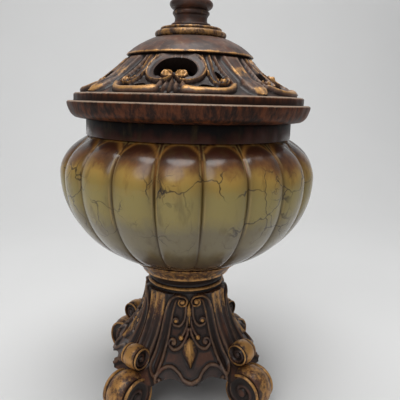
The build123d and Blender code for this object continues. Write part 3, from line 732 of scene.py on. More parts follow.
def bowl_outline(sizes):
    """Closed outline of the bowl, up the outside and down the inside."""
    widest, wall, collar = widest_z(sizes), sizes.wall, sizes.collar_radius
    high = math.acos(collar / sizes.radius)
    lower = (BOWL_Z - widest) * np.cos(np.linspace(0, QUARTER, 40)[:-1])
    upper = sizes.shoulder_depth * np.sin(np.linspace(0, high, 44))
    outside = [(bowl_reach(sizes, up), widest + up) for up in (*lower, *upper)]
    neck = spot(collar, LIP_Z) + mm((0, -9), (0, -5))
    lip = arc(spot(collar - wall / 2, LIP_Z) + mm(0, -1.5), (wall / 2, 1.5 * MM), 0, 180, 8)
    inside = []
    for radius, height in outside[::-3]:
        if height > BOWL_Z + wall:
            near_lip = height > LIP_Z - 15 * MM
            inside.append((min(radius, collar) - wall if near_lip else radius - wall, height))
    floor_z = BOWL_Z + wall
    floor = [(sizes.foot_radius - 8 * MM, floor_z), (BORE, floor_z), (BORE, BOWL_Z)]
    return np.vstack([outside, neck, lip, inside, floor])


class URN_OT_bowl(Operator):
    """Make the lobed, glazed bowl"""

    bl_idname = "urn.bowl"
    bl_label = "Bowl"

    # Swell of a lobe, how far it flattens out towards foot and shoulder, and the line between two lobes
    steps_per_lobe = 22
    roundness = 0.62
    foot_fade = 0.3
    shoulder_fade = 0.25
    groove_depth = 0.35 * MM
    groove_width = 0.07
    crease_width = 0.09
    arch_crease = 0.08

    def execute(self, context):
        sizes = context.scene.urn_bowl
        form = turned(sizes.lobes * self.steps_per_lobe, bowl_outline(sizes))
        crease = form.verts.layers.float.new("crease")
        inside = form.verts.layers.float.new("inside")
        hollow = form.verts.layers.float.new("hollow")
        collar_z, widest = LIP_Z - sizes.collar_height, widest_z(sizes)
        for point in form.verts:
            radius = math.hypot(point.co.x, point.co.y)
            height = point.co.z
            envelope = sizes.collar_radius if height > collar_z else bowl_reach(sizes, height - widest)
            if radius < envelope - sizes.wall / 2:
                point[inside] = 1
                continue
            if height > collar_z or height < BOWL_Z + 0.1 * MM:
                continue
            turn = math.atan2(point.co.y, point.co.x) / math.tau * sizes.lobes
            across = 2 * (turn % 1) - 1
            arch = max(0, (height - collar_z + sizes.lobe_arch) / sizes.lobe_arch)
            swell = 1 - across ** 2 - arch ** 2
            pillow = max(0, swell) ** self.roundness
            fade = self.foot_fade + (1 - self.foot_fade) * (height - BOWL_Z) / (widest - BOWL_Z)
            if height > widest:
                fade = 1 - self.shoulder_fade * (height - widest) / (collar_z - widest)
            groove = math.exp(-(swell / self.groove_width) ** 2)
            sink = sizes.lobe_depth * fade * (1 - pillow) + self.groove_depth * groove
            point.co.xy *= (radius - sink) / radius
            # crease and hollow mark the valleys, where the glaze takes painted shade and, beside them, a
            # painted highlight
            width = self.crease_width + self.arch_crease * min(1, arch)
            point[crease] = math.exp(-(swell / width) ** 2)
            point[hollow] = min(1, max(abs(across), arch)) ** 3
        finished("glazed_bowl", form, crackle_glaze("crackle_glaze"), "base", "crackle_glaze", "bowl")
        return {"FINISHED"}


class URN_OT_seat(Operator):
    """Make the gilded ring between the pedestal and the bowl"""

    bl_idname = "urn.seat"
    bl_label = "Bowl seat"

    def execute(self, context):
        sizes = context.scene.urn_bowl
        waist = spot(sizes.seat_waist, NECK_Z)
        band = spot(sizes.seat_band, BOWL_Z - sizes.seat_band_height)
        brim = spot(sizes.seat_radius, BOWL_Z)
        hollow = np.vstack([waist + mm((0, 4.8), (0.5, 7.2)), band + mm((-2.2, -1.2))])
        flare = np.vstack([band + mm((1.4, 2), (4.8, 6)), brim + mm((-0.6, -1.4))])
        form = turned(
            160,
            [(BORE, NECK_Z)],
            # Rise 0.1 on the waist and 0.05 in the hollow under the flare paint shade there
            marked(waist + mm((1.2, 0), (0.6, 1.9)), 0, 0.1),
            marked(arc(waist + mm(1.2, 3.2), mm(1.1, 1.1), -70, 80, 10), 0.85, 0.7),
            marked(flowing(hollow, 6), 0, 0.05),
            marked(arc(band + mm(-0.6, 0), mm(0.9, 0.9), -80, 20, 6), 0.8, 0.7),
            marked(flowing(flare), 0.55, 0.5),
            marked(brim + mm((-0.2, -0.6), (-0.9, 0)), (0.75, 0.3), (0.7, 0.4)),
            [(BORE, BOWL_Z)],
        )
        roughened(form, size=5 * MM, amount=0.35 * MM)
        finished("gilded_seat", form, rubbed_resin("gilded_resin"), "base", "gilded_resin", "bowl_seat")
        return {"FINISHED"}


def sweep(top_reach, flare, drop, fall):
    """Reach and slope of a sweep that starts upright, at a fall below its top."""
    radius = (flare ** 2 + drop ** 2) / (2 * flare)
    lean = np.arcsin(np.clip(fall / radius, 0, 1))
    return top_reach + radius * (1 - np.cos(lean)), lean


def quarter(sizes, fall, inset=0.0):
    """Half width, reach and slope of a face, and half width of a corner, at a fall below the neck."""
    drop = NECK_Z - sizes.apron_z
    face, lean = sweep(sizes.neck_reach - inset, sizes.face_flare, drop, fall)
    corner = sweep(sizes.corner_reach - inset, sizes.corner_flare, drop, fall)[0]
    return math.sqrt(2) * corner - face, face, lean, math.sqrt(2) * face - corner


def face_carving(spots, sizes):
    """Scrolls, curls, drops and wavy edge on one face of the pedestal, drawn as across and height."""
    relief = Relief(spots)
    edge_line = [(quarter(sizes, NECK_Z - z * MM)[0] / MM + out, z) for z, out in (
        (38, 4.6), (46, 3.0), (54, 2.0), (62, 1.2), (70, 0.6), (77, -0.2), (82.5, -1.4))]
    top_eye, middle_eye, low_eye, deep_eye = (5.8, 85.3), (10.6, 70.2), (6.7, 57.8), (13.2, 54.8)
    frame_line = curled(flowing([*edge_line, (12.6, 87), (9.6, 88.8), (6.4, 88.4)]), top_eye, 1.15, 0.45)
    middle = curled(flowing([(2.8, 82), (3, 75), (4.6, 69.5), (8, 66.4), (12, 67.4)]), middle_eye, 0.9)
    low = flowing([(1.4, 73), (1.9, 67), (3.8, 62), (6.2, 58.8)])
    deep = curled(flowing([(0.8, 64), (2.6, 58), (7, 52), (12.4, 50.2), (16, 53)]), deep_eye, 0.9)
    wave = flowing([(0, 30.6), (5.5, 32.4), (9.5, 36.6), (15, 40), (21, 39.4), (26, 35.8), (27.6, 32.6)])
    wave = curled(wave, (25.2, 32.6), -0.6)
    for side in (np.asarray, mirrored):
        relief.ribbon(side(frame_line), 5.0, 2.6, 1.9, gilt=0.15, end_gilt=0.85, floor=0.12, line=1.1)
        relief.boss(side(top_eye), 1.9, 2.8)
        relief.roll(side(middle), 1.3, 2.1, 1.0, gilt=0.25)
        relief.boss(side(middle_eye), 1.8, 2.4, gilt=0.95)
        relief.roll(side(low), 1.2, 2.0, gilt=0.25)
        relief.boss(side(low_eye), 2.2, 2.6)
        relief.roll(side(deep), 1.5, 2.4, 1.1, gilt=0.3)
        relief.boss(side(deep_eye), 1.8, 2.4, gilt=0.45)
        relief.roll(side(wave), 1.3, 2.0, gilt=0.32)
    relief.drop((0, 85), (0, 66), 2.6, 2.2, gilt=0.9)
    relief.drop((0, 57.5), (0, 38.5), 6.6, 3.8, gilt=0.95, belly=0.7)
    return relief


class URN_OT_pedestal(Operator):
    """Make the hollow pedestal with its carved faces and ribbed corners"""

    bl_idname = "urn.pedestal"
    bl_label = "Pedestal"

    # Grid over one quarter of the outside
    columns = 152
    rows = 118
    # Inner wall: its steps, its start and end along the fall, its inset in walls, and its neck
    inner_steps = 8
    inner_start = 0.99
    inner_top = 0.125
    inner_inset = 0.8
    neck_share = 0.55
    neck_gap = 0.2 * MM
    # Arches in the lower edge, and the plate under the neck
    arch_middle = 18 * MM
    arch_half = 13.5 * MM
    plate_radius = 20 * MM

    def execute(self, context):
        sizes = context.scene.urn_pedestal
        form, points, column, row = carved_grid(self.columns, self.rows)
        side, share = 2 * column - 1, 1 - row
        across = self.spread(sizes, side, share)[0]
        arch = np.clip(1 - ((np.abs(across) - self.arch_middle) / self.arch_half) ** 2, 0, 1)
        share = share * (1 - sizes.arch_rise * arch * share / (NECK_Z - sizes.apron_z))
        across, height = self.spread(sizes, side, share)[:2]
        relief = face_carving(np.stack([across, height], 1) / MM, sizes)
        self.corner_ribs(sizes, relief, side, share)
        # rise paints shade in the carving's hollows and wear on its crests
        rise = wear_and_shade(relief.proud, self.rows + 1)
        places = self.places(sizes, side, share, relief.proud * MM)
        placed(form, points, places, relief, rise)
        edge = self.columns + 1
        self.line_inside(form, sizes, points[:edge], points[-edge:], side[:edge], share[:edge])
        closed_up(four_times(form))
        low, wide = NECK_Z - sizes.plate, self.plate_radius
        joined(form, turned(64, [(BORE, low), (wide, low), (wide, NECK_Z), (BORE, NECK_Z)]))
        finished("carved_pedestal", form, rubbed_resin("carved_resin"), "base", "cast_resin", "pedestal")
        return {"FINISHED"}

    @staticmethod
    def spread(sizes, side, share, inset=0.0):
        """Across on the unrolled quarter, height, face half width, face reach and slope."""
        drop = NECK_Z - sizes.apron_z
        radius = (sizes.face_flare ** 2 + drop ** 2) / (2 * sizes.face_flare)
        fall = radius * np.sin(math.asin(drop / radius) * share)
        half, face, lean, slant = quarter(sizes, fall, inset)
        return side * (half + slant), NECK_Z - fall, half, face, lean

    def places(self, sizes, side, share, proud, inset=0.0):
        """Points on one quarter of the eight-sided pedestal, raised by the carving."""
        across, height, half, face, lean = self.spread(sizes, side, share, inset)
        past = np.clip(np.abs(across) - half, 0, None) / math.sqrt(2)
        turn = smooth(np.abs(across), half - 2 * MM, half + 2 * MM) * math.pi / 4
        out = proud * np.cos(lean)
        x = np.sign(across) * (np.clip(np.abs(across), 0, half) + past + out * np.sin(turn))
        y = past - face - out * np.cos(turn)
        return np.stack([x, y, height + proud * np.sin(lean)], 1)

    def corner_ribs(self, sizes, relief, side, share):
        """Ribbed ribbon down each corner, between two faces."""
        across, height = self.spread(sizes, side, share)[:2]
        edge = self.spread(sizes, np.ones_like(side), share)[0] - np.abs(across)
        fall = smooth(NECK_Z - height, -10 * MM, NECK_Z - sizes.volute_z + 4 * MM)
        proud = sizes.strip_rise + (sizes.strip_low_rise - sizes.strip_rise) * fall
        proud = proud * smooth(height, sizes.apron_z + 3 * MM, sizes.volute_z + 2 * MM)
        half, rib, rib_width = sizes.strip_half, 0.8 * MM, 1.3 * MM
        body = 1 - smooth(edge, half - 1.4 * MM, half + 1.4 * MM)
        ridge = sum(np.exp(-((edge - place * half) / rib_width) ** 2) for place in (0.08, 0.82))
        gold = ridge * 0.25 + 0.55 * smooth(height, 60 * MM, 84 * MM)
        relief.lay((proud - rib + rib * ridge) * body / MM, gold * body)

    def line_inside(self, form, sizes, bottom, top, sides, low):
        """Inner wall of the casting, drawn up from the lower edge and closed at the neck."""
        loop, start = bottom, low * self.inner_start
        for step in range(self.inner_steps + 3):
            pairs = [form.edges.get(pair) for pair in zip(loop, loop[1:])]
            fresh = points_in(bmesh.ops.extrude_edge_only(form, edges=pairs))
            here = {tuple(round(c, 7) for c in point.co): point for point in fresh}
            loop = [here[tuple(round(c, 7) for c in point.co)] for point in loop]
            share = start + (self.inner_top - start) * min(1, step / (self.inner_steps - 1))
            places = self.places(sizes, sides, share, np.zeros_like(sides), sizes.wall * self.inner_inset)
            if step >= self.inner_steps:
                places[:, :2] *= self.neck_share
            if step == self.inner_steps + 1:
                places[:, 2] = NECK_Z - self.neck_gap
            if step == self.inner_steps + 2:
                places = [point.co for point in top]
            for point, place in zip(loop, places):
                point.co = place


def rolled_scroll(centre, radius, half_width, pitch, eye, gold, crown):
    """Rolled end of a ribbon: a crowned barrel across the corner, with a ring and a spiral on each end."""
    form = blank()
    gilt, rise = form.verts.layers.float["gilt"], form.verts.layers.float["rise"]
    ring, ring_gold, spiral_depth = half_width * 0.1, 0.75, 1.3 * MM
    edge = radius * (1 - crown)
    middle, end = half_width - ring, half_width - 0.3 * MM
    # Low rise on the flat ends (0.1) and in the two grooves beside the ring (0) paints shade there
    side = [(end, 0.0, 0.2, 0.5), (end, eye * 0.7, 0.2, 0.5)]
    side += [(half_width - 1.0 * MM, reach, 0, 0.1) for reach in np.linspace(eye, edge * 0.84, 20)]
    side += [(middle + ring * math.sin(a), edge * 0.91 + ring * math.cos(a), ring_gold, 0.85)
             for a in np.radians((90, 60, 30, 0, -30, -60))]
    side += [(middle - step * ring, edge * 0.88, 0, 0) for step in (1.5, 2.1)]
    flank = middle - 2.4 * ring
    for share in (1.0, 0.94, 0.85, 0.7, 0.55, 0.4, 0.25, 0.1, 0.0):
        fall = radius * (crown * share ** 2.2 + 0.03 * (share > 0.97))
        side.append((flank * share, radius - fall, gold * (1 - 0.5 * share ** 2), 0.55))
    outline = side + [(-part[0], *part[1:]) for part in side[-2::-1]]
    corners = strung(form, [
        (centre[0] + reach, across, centre[1], *marks) for across, reach, *marks in outline])
    edges = [form.edges.new(pair) for pair in zip(corners, corners[1:])]
    bmesh.ops.spin(
        form, geom=corners + edges, cent=(centre[0], 0, centre[1]), axis=(0, 1, 0),
        angle=math.tau, steps=88, use_merge=True,
    )
    closed_up(form)
    for point in form.verts:
        out, up = point.co.x - centre[0], point.co.z - centre[1]
        reach = math.hypot(out, up)
        if abs(point.co.y) > half_width - 1.1 * MM and eye < reach < edge * 0.85:
            # In the spiral's grooves the low rise paints shade; its ridges take a little gold
            wind = (reach / pitch + math.atan2(up, out) / math.tau) % 1
            ridge = (0.5 + 0.5 * math.cos(math.tau * wind)) ** 2
            point.co.y -= math.copysign((1 - ridge) * spiral_depth, point.co.y)
            point[gilt] = 0.2 * ridge
            point[rise] = 0.05 + 0.5 * ridge
    return form


class URN_OT_scrolls(Operator):
    """Make the volutes and scroll feet at the four corners"""

    bl_idname = "urn.scrolls"
    bl_label = "Corner scrolls"

    def execute(self, context):
        sizes = context.scene.urn_pedestal
        form = rolled_scroll(
            (sizes.volute_reach, sizes.volute_z), sizes.volute_radius, sizes.volute_width / 2,
            pitch=4.6 * MM, eye=2.4 * MM, gold=0.95, crown=0.12,
        )
        foot = rolled_scroll(
            (sizes.foot_reach, sizes.foot_z), sizes.foot_radius, sizes.foot_width / 2,
            pitch=7.5 * MM, eye=3.5 * MM, gold=0.7, crown=0.14,
        )
        joined(form, foot)
        for point in form.verts:
            point.co.z = max(point.co.z, FLOOR_Z)
        four_times(rotated(form, QUARTER / 2))
        resin = rubbed_resin("scroll_resin", gold_share=0.55)
        finished("corner_scrolls", form, resin, "base", "cast_resin", "pedestal")
        return {"FINISHED"}


def lid_carving(spots):
    """C-scrolls, bars, ribbons and shell on one panel of the cone, drawn as across and up the slope."""
    relief = Relief(spots)
    eye, curl_eye = (5.3, 24.2), (34.6, 18)
    rail = flowing([(2, 47.4), (8, 46.2), (15, 42.6), (19.8, 35), (20.4, 27), (17.6, 20), (11.4, 16.8),
                    (5, 17.8), (2.2, 21.4)])
    rail = curled(rail, eye, -1.1, 0.55)
    band = flowing([(0, 43.8), (7, 42.8), (12.6, 39.4), (16.4, 33.6), (17, 27), (14.6, 20.8), (10.4, 18.4)])
    lift = flowing([(17.4, 47.6), (20.8, 39), (24.6, 28), (27.4, 20.6), (31, 15.8), (35.4, 14.8)])
    lift = curled(lift, curl_eye, 0.75, 0.4)
    veil = flowing([(24, 47.6), (27.4, 40), (33, 30), (38.6, 22), (42, 14.6), (41.4, 8.6)])
    bar = flowing([(11, 5.6), (16, 4.4), (24, 4.1), (35, 4.5), (40.4, 7.4), (42.4, 12.6)])
    for side in (np.asarray, mirrored):
        relief.ribbon(side(band), 3.4, 2.4, gilt=0.15, floor=0.8)
        relief.roll(side(rail), 1.1, 3.4, 1.0, gilt=0.6, end_gilt=1.0)
        relief.boss(side(eye), 2.8, 4.8)
        relief.ribbon(side(lift), 3.2, 2.8, 1.6, gilt=0.7, end_gilt=0.9, floor=0.25, line=0.75)
        relief.boss(side(curl_eye), 1.9, 3.4, gilt=0.9)
        relief.roll(side(veil), 0.9, 2.0, gilt=0.35)
        relief.roll(side(bar), 4.5, 4.6, 2.8, gilt=1.0, end_gilt=0.75)
        relief.drop(side((7, 15.8)), side((9.6, 3.2)), 3.0, 3.6, gilt=0.35)
        relief.drop(side((3, 15.4)), side((4.8, 2)), 2.6, 3.2, gilt=0.25)
    relief.drop((0, 19), (0, 1), 2.3, 3.4, gilt=0.3)
    return relief


def leaf_carving(relief, across, share):
    """Adds half a leaf that lies on the corner between two panels, with its tip on the ledge."""
    half = np.interp(
        share, (0, 0.06, 0.16, 0.3, 0.42, 0.55, 0.8, 1), (1.6, 5.2, 8.6, 9.0, 6.4, 6.0, 7.4, 8.2))
    side = np.clip(across / half, 0, 2)
    body = smooth(-side, -1.14, -0.7)
    lip = np.exp(-((side - 0.72) / 0.16) ** 2)
    fold = np.exp(-((side - 0.42) / 0.16) ** 2) * smooth(-share, -0.5, -0.25)
    keel = np.exp(-(across / 1.1) ** 2) * smooth(-share, -0.6, -0.3)
    swell = np.interp(share, (0, 0.12, 0.3, 0.45, 0.7, 1), (2.0, 3.6, 3.6, 2.2, 2.6, 2.8))
    proud = (swell * (1 - 0.3 * side ** 2) + 0.6 * lip + 0.4 * fold + 0.8 * keel) * body
    tip = smooth(-share, -0.32, -0.1)
    patch = np.exp(-((share - 0.62) / 0.14) ** 2)
    relief.lay(proud, body * np.clip(0.25 * lip + 0.9 * tip * (1 - 0.4 * side) + 0.65 * patch, 0, 1))


class URN_OT_lid(Operator):
    """Make the rim and the carved, pierced cone of the lid"""

    bl_idname = "urn.lid"
    bl_label = "Lid"

    # Grid over one quarter of the cone
    columns = 150
    rows = 64
    plug_depth = 8 * MM
    brim_shade = 4.2 * MM
    brim_overlap = 0.8 * MM

    def rim(self, sizes):
        """Rounded rim with its step, and the plug that drops into the bowl's mouth."""
        plug, bore = sizes.plug_radius, sizes.plug_radius - sizes.plug_wall
        seat_z = PLUG_Z + self.plug_depth
        drop, under = spot(sizes.rim_inner, sizes.rim_low), spot(sizes.rim_radius, sizes.rim_low)
        edge, step = spot(sizes.rim_radius, sizes.rim_top), spot(sizes.step_radius, sizes.rim_top)
        ledge, cone = spot(sizes.step_radius, CONE_Z), spot(sizes.cone_radius, CONE_Z)
        side = np.vstack([
            drop + mm((0.6, 0)), under + mm((-6, 1), (-2.4, 4)), edge + mm((-0.5, -4), (0, -1.4))])
        form = turned(
            256,
            [(bore, PLUG_Z), (plug, PLUG_Z), (plug, seat_z), (sizes.rim_inner, seat_z)],
            drop + mm((0, 0.4)),
            marked(flowing(side), 0, 0.5),
            marked(edge + mm((-0.3, -0.7), (-1.2, 0), (-3.4, 0.1)), (0.8, 1, 0.8), (0.8, 0.8, 0.6)),
            # Rise 0 and 0.1 on the step, and 0.1 at the cone's foot, paint shade there
            marked(step + mm((0.3, -0.3), (0, 1)), 0, (0, 0.1)),
            marked(ledge + mm((0, -1.8), (-0.3, -0.9), (-1.4, -0.2), (-3.8, 0)),
                   (0, 0.7, 1, 0.75), (0.25, 0.7, 0.8, 0.6)),
            marked(cone + mm((-5, 0)), 0.1, 0.1),
            cone + mm((-8, 0)),
            [(bore, seat_z)],
        )
        roughened(form, size=9 * MM, amount=0.5 * MM)
        finished("streaked_rim", form, streaked_resin("streaked_resin"), "cover", "cast_resin", "lid_rim")

    def execute(self, context):
        sizes = context.scene.urn_lid
        self.rim(sizes)
        run = sizes.cone_radius - sizes.cone_top
        slope = math.hypot(run, CONE_TOP_Z - CONE_Z)
        form, points, column, row = carved_grid(self.columns, self.rows, "up")
        across = (2 * column - 1) * math.pi / 4 * (sizes.cone_radius - run * row)
        flat = np.stack([across, row * slope], 1)
        gone, brink = self.cut(form, points, flat, self.holes())
        share = flat[:, 1] / slope
        radii = sizes.cone_radius - run * share
        relief = lid_carving(flat / MM)
        leaf_carving(relief, (math.pi / 4 * radii - np.abs(flat[:, 0])) / MM, np.clip(share, 0, 1))
        # Under the brim the carving sinks and its colour turns to painted shade (rise and gilt fall to 0)
        under_brim = smooth(flat[:, 1], slope - self.brim_shade, slope - self.brim_overlap)
        relief.proud *= 1 - 0.85 * under_brim
        relief.gilt *= 1 - under_brim
        rise = wear_and_shade(relief.proud, self.rows + 1, scale=1.6, reach=5) * (1 - under_brim)
        # Painted shade: the points on the openings' edges take rise and gilt 0, so the walls of the holes are
        # dark
        rise[brink] = relief.gilt[brink] = 0
        sink = sizes.cone_sink * (1 - under_brim)
        places = self.places(sizes, flat[:, 0] / radii, share, relief.proud * MM - sink)
        up = form.verts.layers.float["up"]
        for point, height in zip(points, share):
            point[up] = height
        placed(form, points, places, relief, rise)
        bmesh.ops.delete(form, geom=gone, context="FACES")
        closed_up(four_times(form))
        self.thicken(form, sizes, up)
        rotated(form, sizes.turn)
        resin = rubbed_resin("lid_resin", wear_share=0.55)
        finished("carved_cone", form, resin, "cover", "cast_resin", "lid_cone")
        return {"FINISHED"}

    @staticmethod
    def places(sizes, angle, share, proud):
        """Points on the hollow cone, raised by the carving."""
        run, rise = sizes.cone_radius - sizes.cone_top, CONE_TOP_Z - CONE_Z
        slope = math.hypot(run, rise)
        lift = proud - sizes.cone_sag * 4 * share * (1 - share)
        radius = sizes.cone_radius - run * share + lift * rise / slope
        height = np.maximum(CONE_Z + rise * share + lift * run / slope, CONE_Z)
        return np.stack([radius * np.sin(angle), -radius * np.cos(angle), height], 1)

    def cut(self, form, points, flat, holes):
        """Faces inside the openings, and the points on their edges, slid onto the openings' outlines."""
        number = {point: index for index, point in enumerate(points)}
        faces = form.faces[:]
        corners = np.array([[number[point] for point in face.verts] for face in faces])
        middles = flat[corners].mean(1)
        inside = np.zeros(len(faces), bool)
        for hole in holes:
            inside |= self.within(middles, hole)
        brink = sorted(set(corners[inside].ravel()) & set(corners[~inside].ravel()))
        near = [nearest(flat[brink], hole) for hole in holes]
        closest = np.argmin([gaps for gaps, _, _ in near], axis=0)
        flat[brink] = [near[hole][2][row] for row, hole in enumerate(closest)]
        return [face for face, open_here in zip(faces, inside) if open_here], brink

    def thicken(self, form, sizes, up):
        """Gives the carved sheet a plain inner wall in painted shade (rise and gilt 0)."""
        inner = points_in(bmesh.ops.extrude_face_region(form, geom=form.faces[:], use_keep_orig=True))
        angles = np.array([math.atan2(point.co.x, -point.co.y) for point in inner])
        shares = np.array([point[up] for point in inner])
        gilt, rise = form.verts.layers.float["gilt"], form.verts.layers.float["rise"]
        for point, place in zip(inner, self.places(sizes, angles, shares, -sizes.cone_wall)):
            point.co = place
            point[gilt] = point[rise] = 0
        form.verts.layers.float.remove(up)
        bmesh.ops.recalc_face_normals(form, faces=form.faces)

    @staticmethod
    def holes():
        """Outlines of the openings in one panel: the kidney, and a gap and a slot on each side."""
        half = flowing(mm(
            (0, 28.6), (3.4, 29.6), (7.4, 28.8), (9.8, 25.6), (9.6, 22.8), (11.6, 21.4), (13.8, 23.2),
            (15.2, 28.4), (13.4, 34.4), (9, 39.6), (3.6, 41.4), (0, 41.6)), 5)
        kidney = np.vstack([half, mirrored(half)[::-1]])
        gap = flowing(mm(
            (17.4, 9.6), (25, 8.8), (32.6, 9.6), (30, 12.6), (25, 15.2), (20.2, 15.8), (17.6, 13),
            (17.4, 9.6)), 6)
        slot = flowing(mm(
            (27.6, 32), (32, 27.6), (34.2, 21.8), (31.4, 20), (28.6, 23), (26.6, 28), (27.6, 32)), 6)
        return [kidney, gap, mirrored(gap), slot, mirrored(slot)]

    @staticmethod
    def within(spots, outline):
        """Which spots lie inside a closed outline."""
        x, y = spots[:, 0], spots[:, 1]
        inside = np.zeros(len(spots), bool)
        for (x0, y0), (x1, y1) in zip(outline, outline[1:]):
            if y0 == y1:
                continue
            crosses = (y0 > y) != (y1 > y)
            inside ^= crosses & (x < x0 + (y - y0) * (x1 - x0) / (y1 - y0))
        return inside


class URN_OT_cap(Operator):
    """Make the stepped cap of the lid"""

    bl_idname = "urn.cap"
    bl_label = "Cap"

    disc_rise = 14.4 * MM

    def execute(self, context):
        sizes = context.scene.urn_lid
        brim = spot(sizes.brim_radius, CONE_TOP_Z)
        spigot, wall = spot(sizes.cone_top, CAP_Z), spot(sizes.cone_top, CONE_TOP_Z)
        disc, top = spot(sizes.disc_radius, CONE_TOP_Z + self.disc_rise), spot(sizes.disc_radius, CAP_TOP_Z)
        dome = np.vstack([brim + mm((-1.4, 2.6), (-6, 6.4), (-12.5, 10.4)), disc + mm((2, -0.7))])
        form = turned(
            192,
            spigot + mm((-12.7, 0), (-8.7, 0)),
            wall + mm((-8.7, 0)),
            # Rise 0.1 under the brim and 0 in the creases beside the disc's rings paint shade there
            marked(brim + mm((-1.4, 0.1), (-0.3, 0.5), (0, 1.1), (-0.5, 1.9)),
                   (0, 0.4, 0.9, 0.6), (0.1, 0.6, 0.9, 0.7)),
            marked(flowing(dome), 0.16, 0.5),
            marked(disc + mm((-0.6, -0.2)), 0, 0),
            marked(arc(disc + mm(-2.6, 2.6), mm(2.6, 2.5), -75, 85, 12), 0.6, 0.55),
            marked(disc + mm((-3.6, 5.2)), 0, 0),
            marked(arc(disc + mm(-5.2, 6.5), mm(1.3, 1.2), -60, 90, 8), 0.6, 0.5),
            top + mm((-8.5, -0.2)),
            spot(BORE, CAP_TOP_Z) + mm((0, 0), (0, -6)),
            top + mm((-9, -6)),
            wall + mm((-12.7, 3)),
        )
        roughened(form, size=7 * MM, amount=0.6 * MM)
        resin = rubbed_resin("cap_resin", wear_share=0.58)
        finished("domed_cap", form, resin, "cover", "cast_resin", "lid_cap")
        return {"FINISHED"}


class URN_OT_finial(Operator):
    """Make the turned finial"""

    bl_idname = "urn.finial"
    bl_label = "Finial"

    def execute(self, context):
        foot, tip = spot(0, CAP_TOP_Z), spot(0, FINIAL_TOP_Z)
        bulb = mm((9.6, 28.3), (11.4, 31.5), (12, 35), (10.6, 38.8), (7.2, 41.6), (4, 42.9))
        form = turned(
            96,
            foot + mm((0, 0), (14.6, 0)),
            marked(arc(foot + mm(13.9, 1.5), mm(1.6, 1.5), -70, 80, 8), 0.4),
            marked(foot + mm((13, 3.2), (12.4, 5), (12.4, 7), (12.8, 8.2), (13.2, 8.6)), (0, 0, 0, 0, 0.2)),
            marked(arc(foot + mm(12.2, 10.6), mm(1.9, 1.9), -70, 70, 8), 0.45),
            foot + mm((12.6, 12.8)),
            marked(arc(foot + mm(12, 16.9), mm(4.5, 3.9), -75, 75, 12), 0.35),
            marked(foot + mm((10.8, 21.4), (8.8, 23.6), (8.3, 26), (8.9, 27.6)), (0, 0, 0, 0.2)),
            marked(foot + flowing(bulb, 5), 0.35),
            marked(arc(tip + mm(0, -2.8), mm(3.2, 2.8), -20, 90, 7), 0.7),
            closed=False,
        )
        roughened(form, size=5 * MM, amount=0.25 * MM)
        resin = rubbed_resin("finial_resin", gold_share=0.35)
        finished("turned_finial", form, resin, "cover", "cast_resin", "finial")
        return {"FINISHED"}


def flat_ring(inner, outer, low, high, edge):
    """Outline of a washer or pad whose outer edges are cut off a little."""
    return [(inner, low), (outer - edge, low), (outer, low + edge),
            (outer, high - edge), (outer - edge, high), (inner, high)]


class URN_OT_soft_parts(Operator):
    """Make the lid's soft ring, the rubber washer and the felt pads"""

    bl_idname = "urn.soft_parts"
    bl_label = "Soft parts"

    skirt_out, skirt_in = 73.9 * MM, 72.3 * MM
    flange = 1.2 * MM

    def execute(self, context):
        rubber = soft_rubber("soft_rubber")
        self.ring("lid_seal_ring", "seal", rubber)
        self.washer("bowl_washer", rubber)
        felt = pressed_felt("pressed_felt")
        for corner in ("back_right", "back_left", "front_left", "front_right"):
            self.pad("felt_pad_" + corner, felt)
        return {"FINISHED"}

    def ring(self, node, body, material):
        low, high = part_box(node)
        inner, outer = spot(self.skirt_in, low.z), spot(self.skirt_out, low.z)
        under, edge = spot(self.skirt_out, high.z - self.flange), spot(high.x, high.z - self.flange)
        form = turned(
            160,
            inner + mm((0, 0.3), (0.5, 0)),
            outer + mm((-0.5, 0), (0, 0.4)),
            under + mm((0, -0.4), (0.4, 0)),
            edge + mm((-0.5, 0), (0, 0.6)),
            [(high.x - 0.5 * MM, high.z), (self.skirt_in, high.z)],
        )
        finished("soft_ring", form, material, body, "rubber", node)

    @staticmethod
    def washer(node, material):
        low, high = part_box(node)
        form = turned(64, flat_ring(BORE, high.x, low.z, high.z, 0.5 * MM))
        finished("rubber_washer", form, material, "base", "rubber", node)

    @staticmethod
    def pad(node, material):
        low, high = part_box(node)
        middle, radius = (low + high) / 2, (high.x - low.x) / 2
        form = turned(40, flat_ring(0, radius, low.z, high.z, 0.4 * MM), closed=False)
        bmesh.ops.translate(form, verts=form.verts, vec=(middle.x, middle.y, 0))
        finished(node.replace("felt_pad", "felt"), form, material, "base", "felt", node)


class URN_OT_hardware(Operator):
    """Give the bolt, stud, nuts and washers their plated finish"""

    bl_idname = "urn.hardware"
    bl_label = "Hardware"

    def execute(self, context):
        steel = plain_metal("plated_steel")
        for node in ("tie_bolt", "clamp_washer", "clamp_nut", "finial_stud", "finial_washer", "finial_nut"):
            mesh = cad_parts[node].data
            mesh.materials.clear()
            mesh.materials.append(steel)
        return {"FINISHED"}


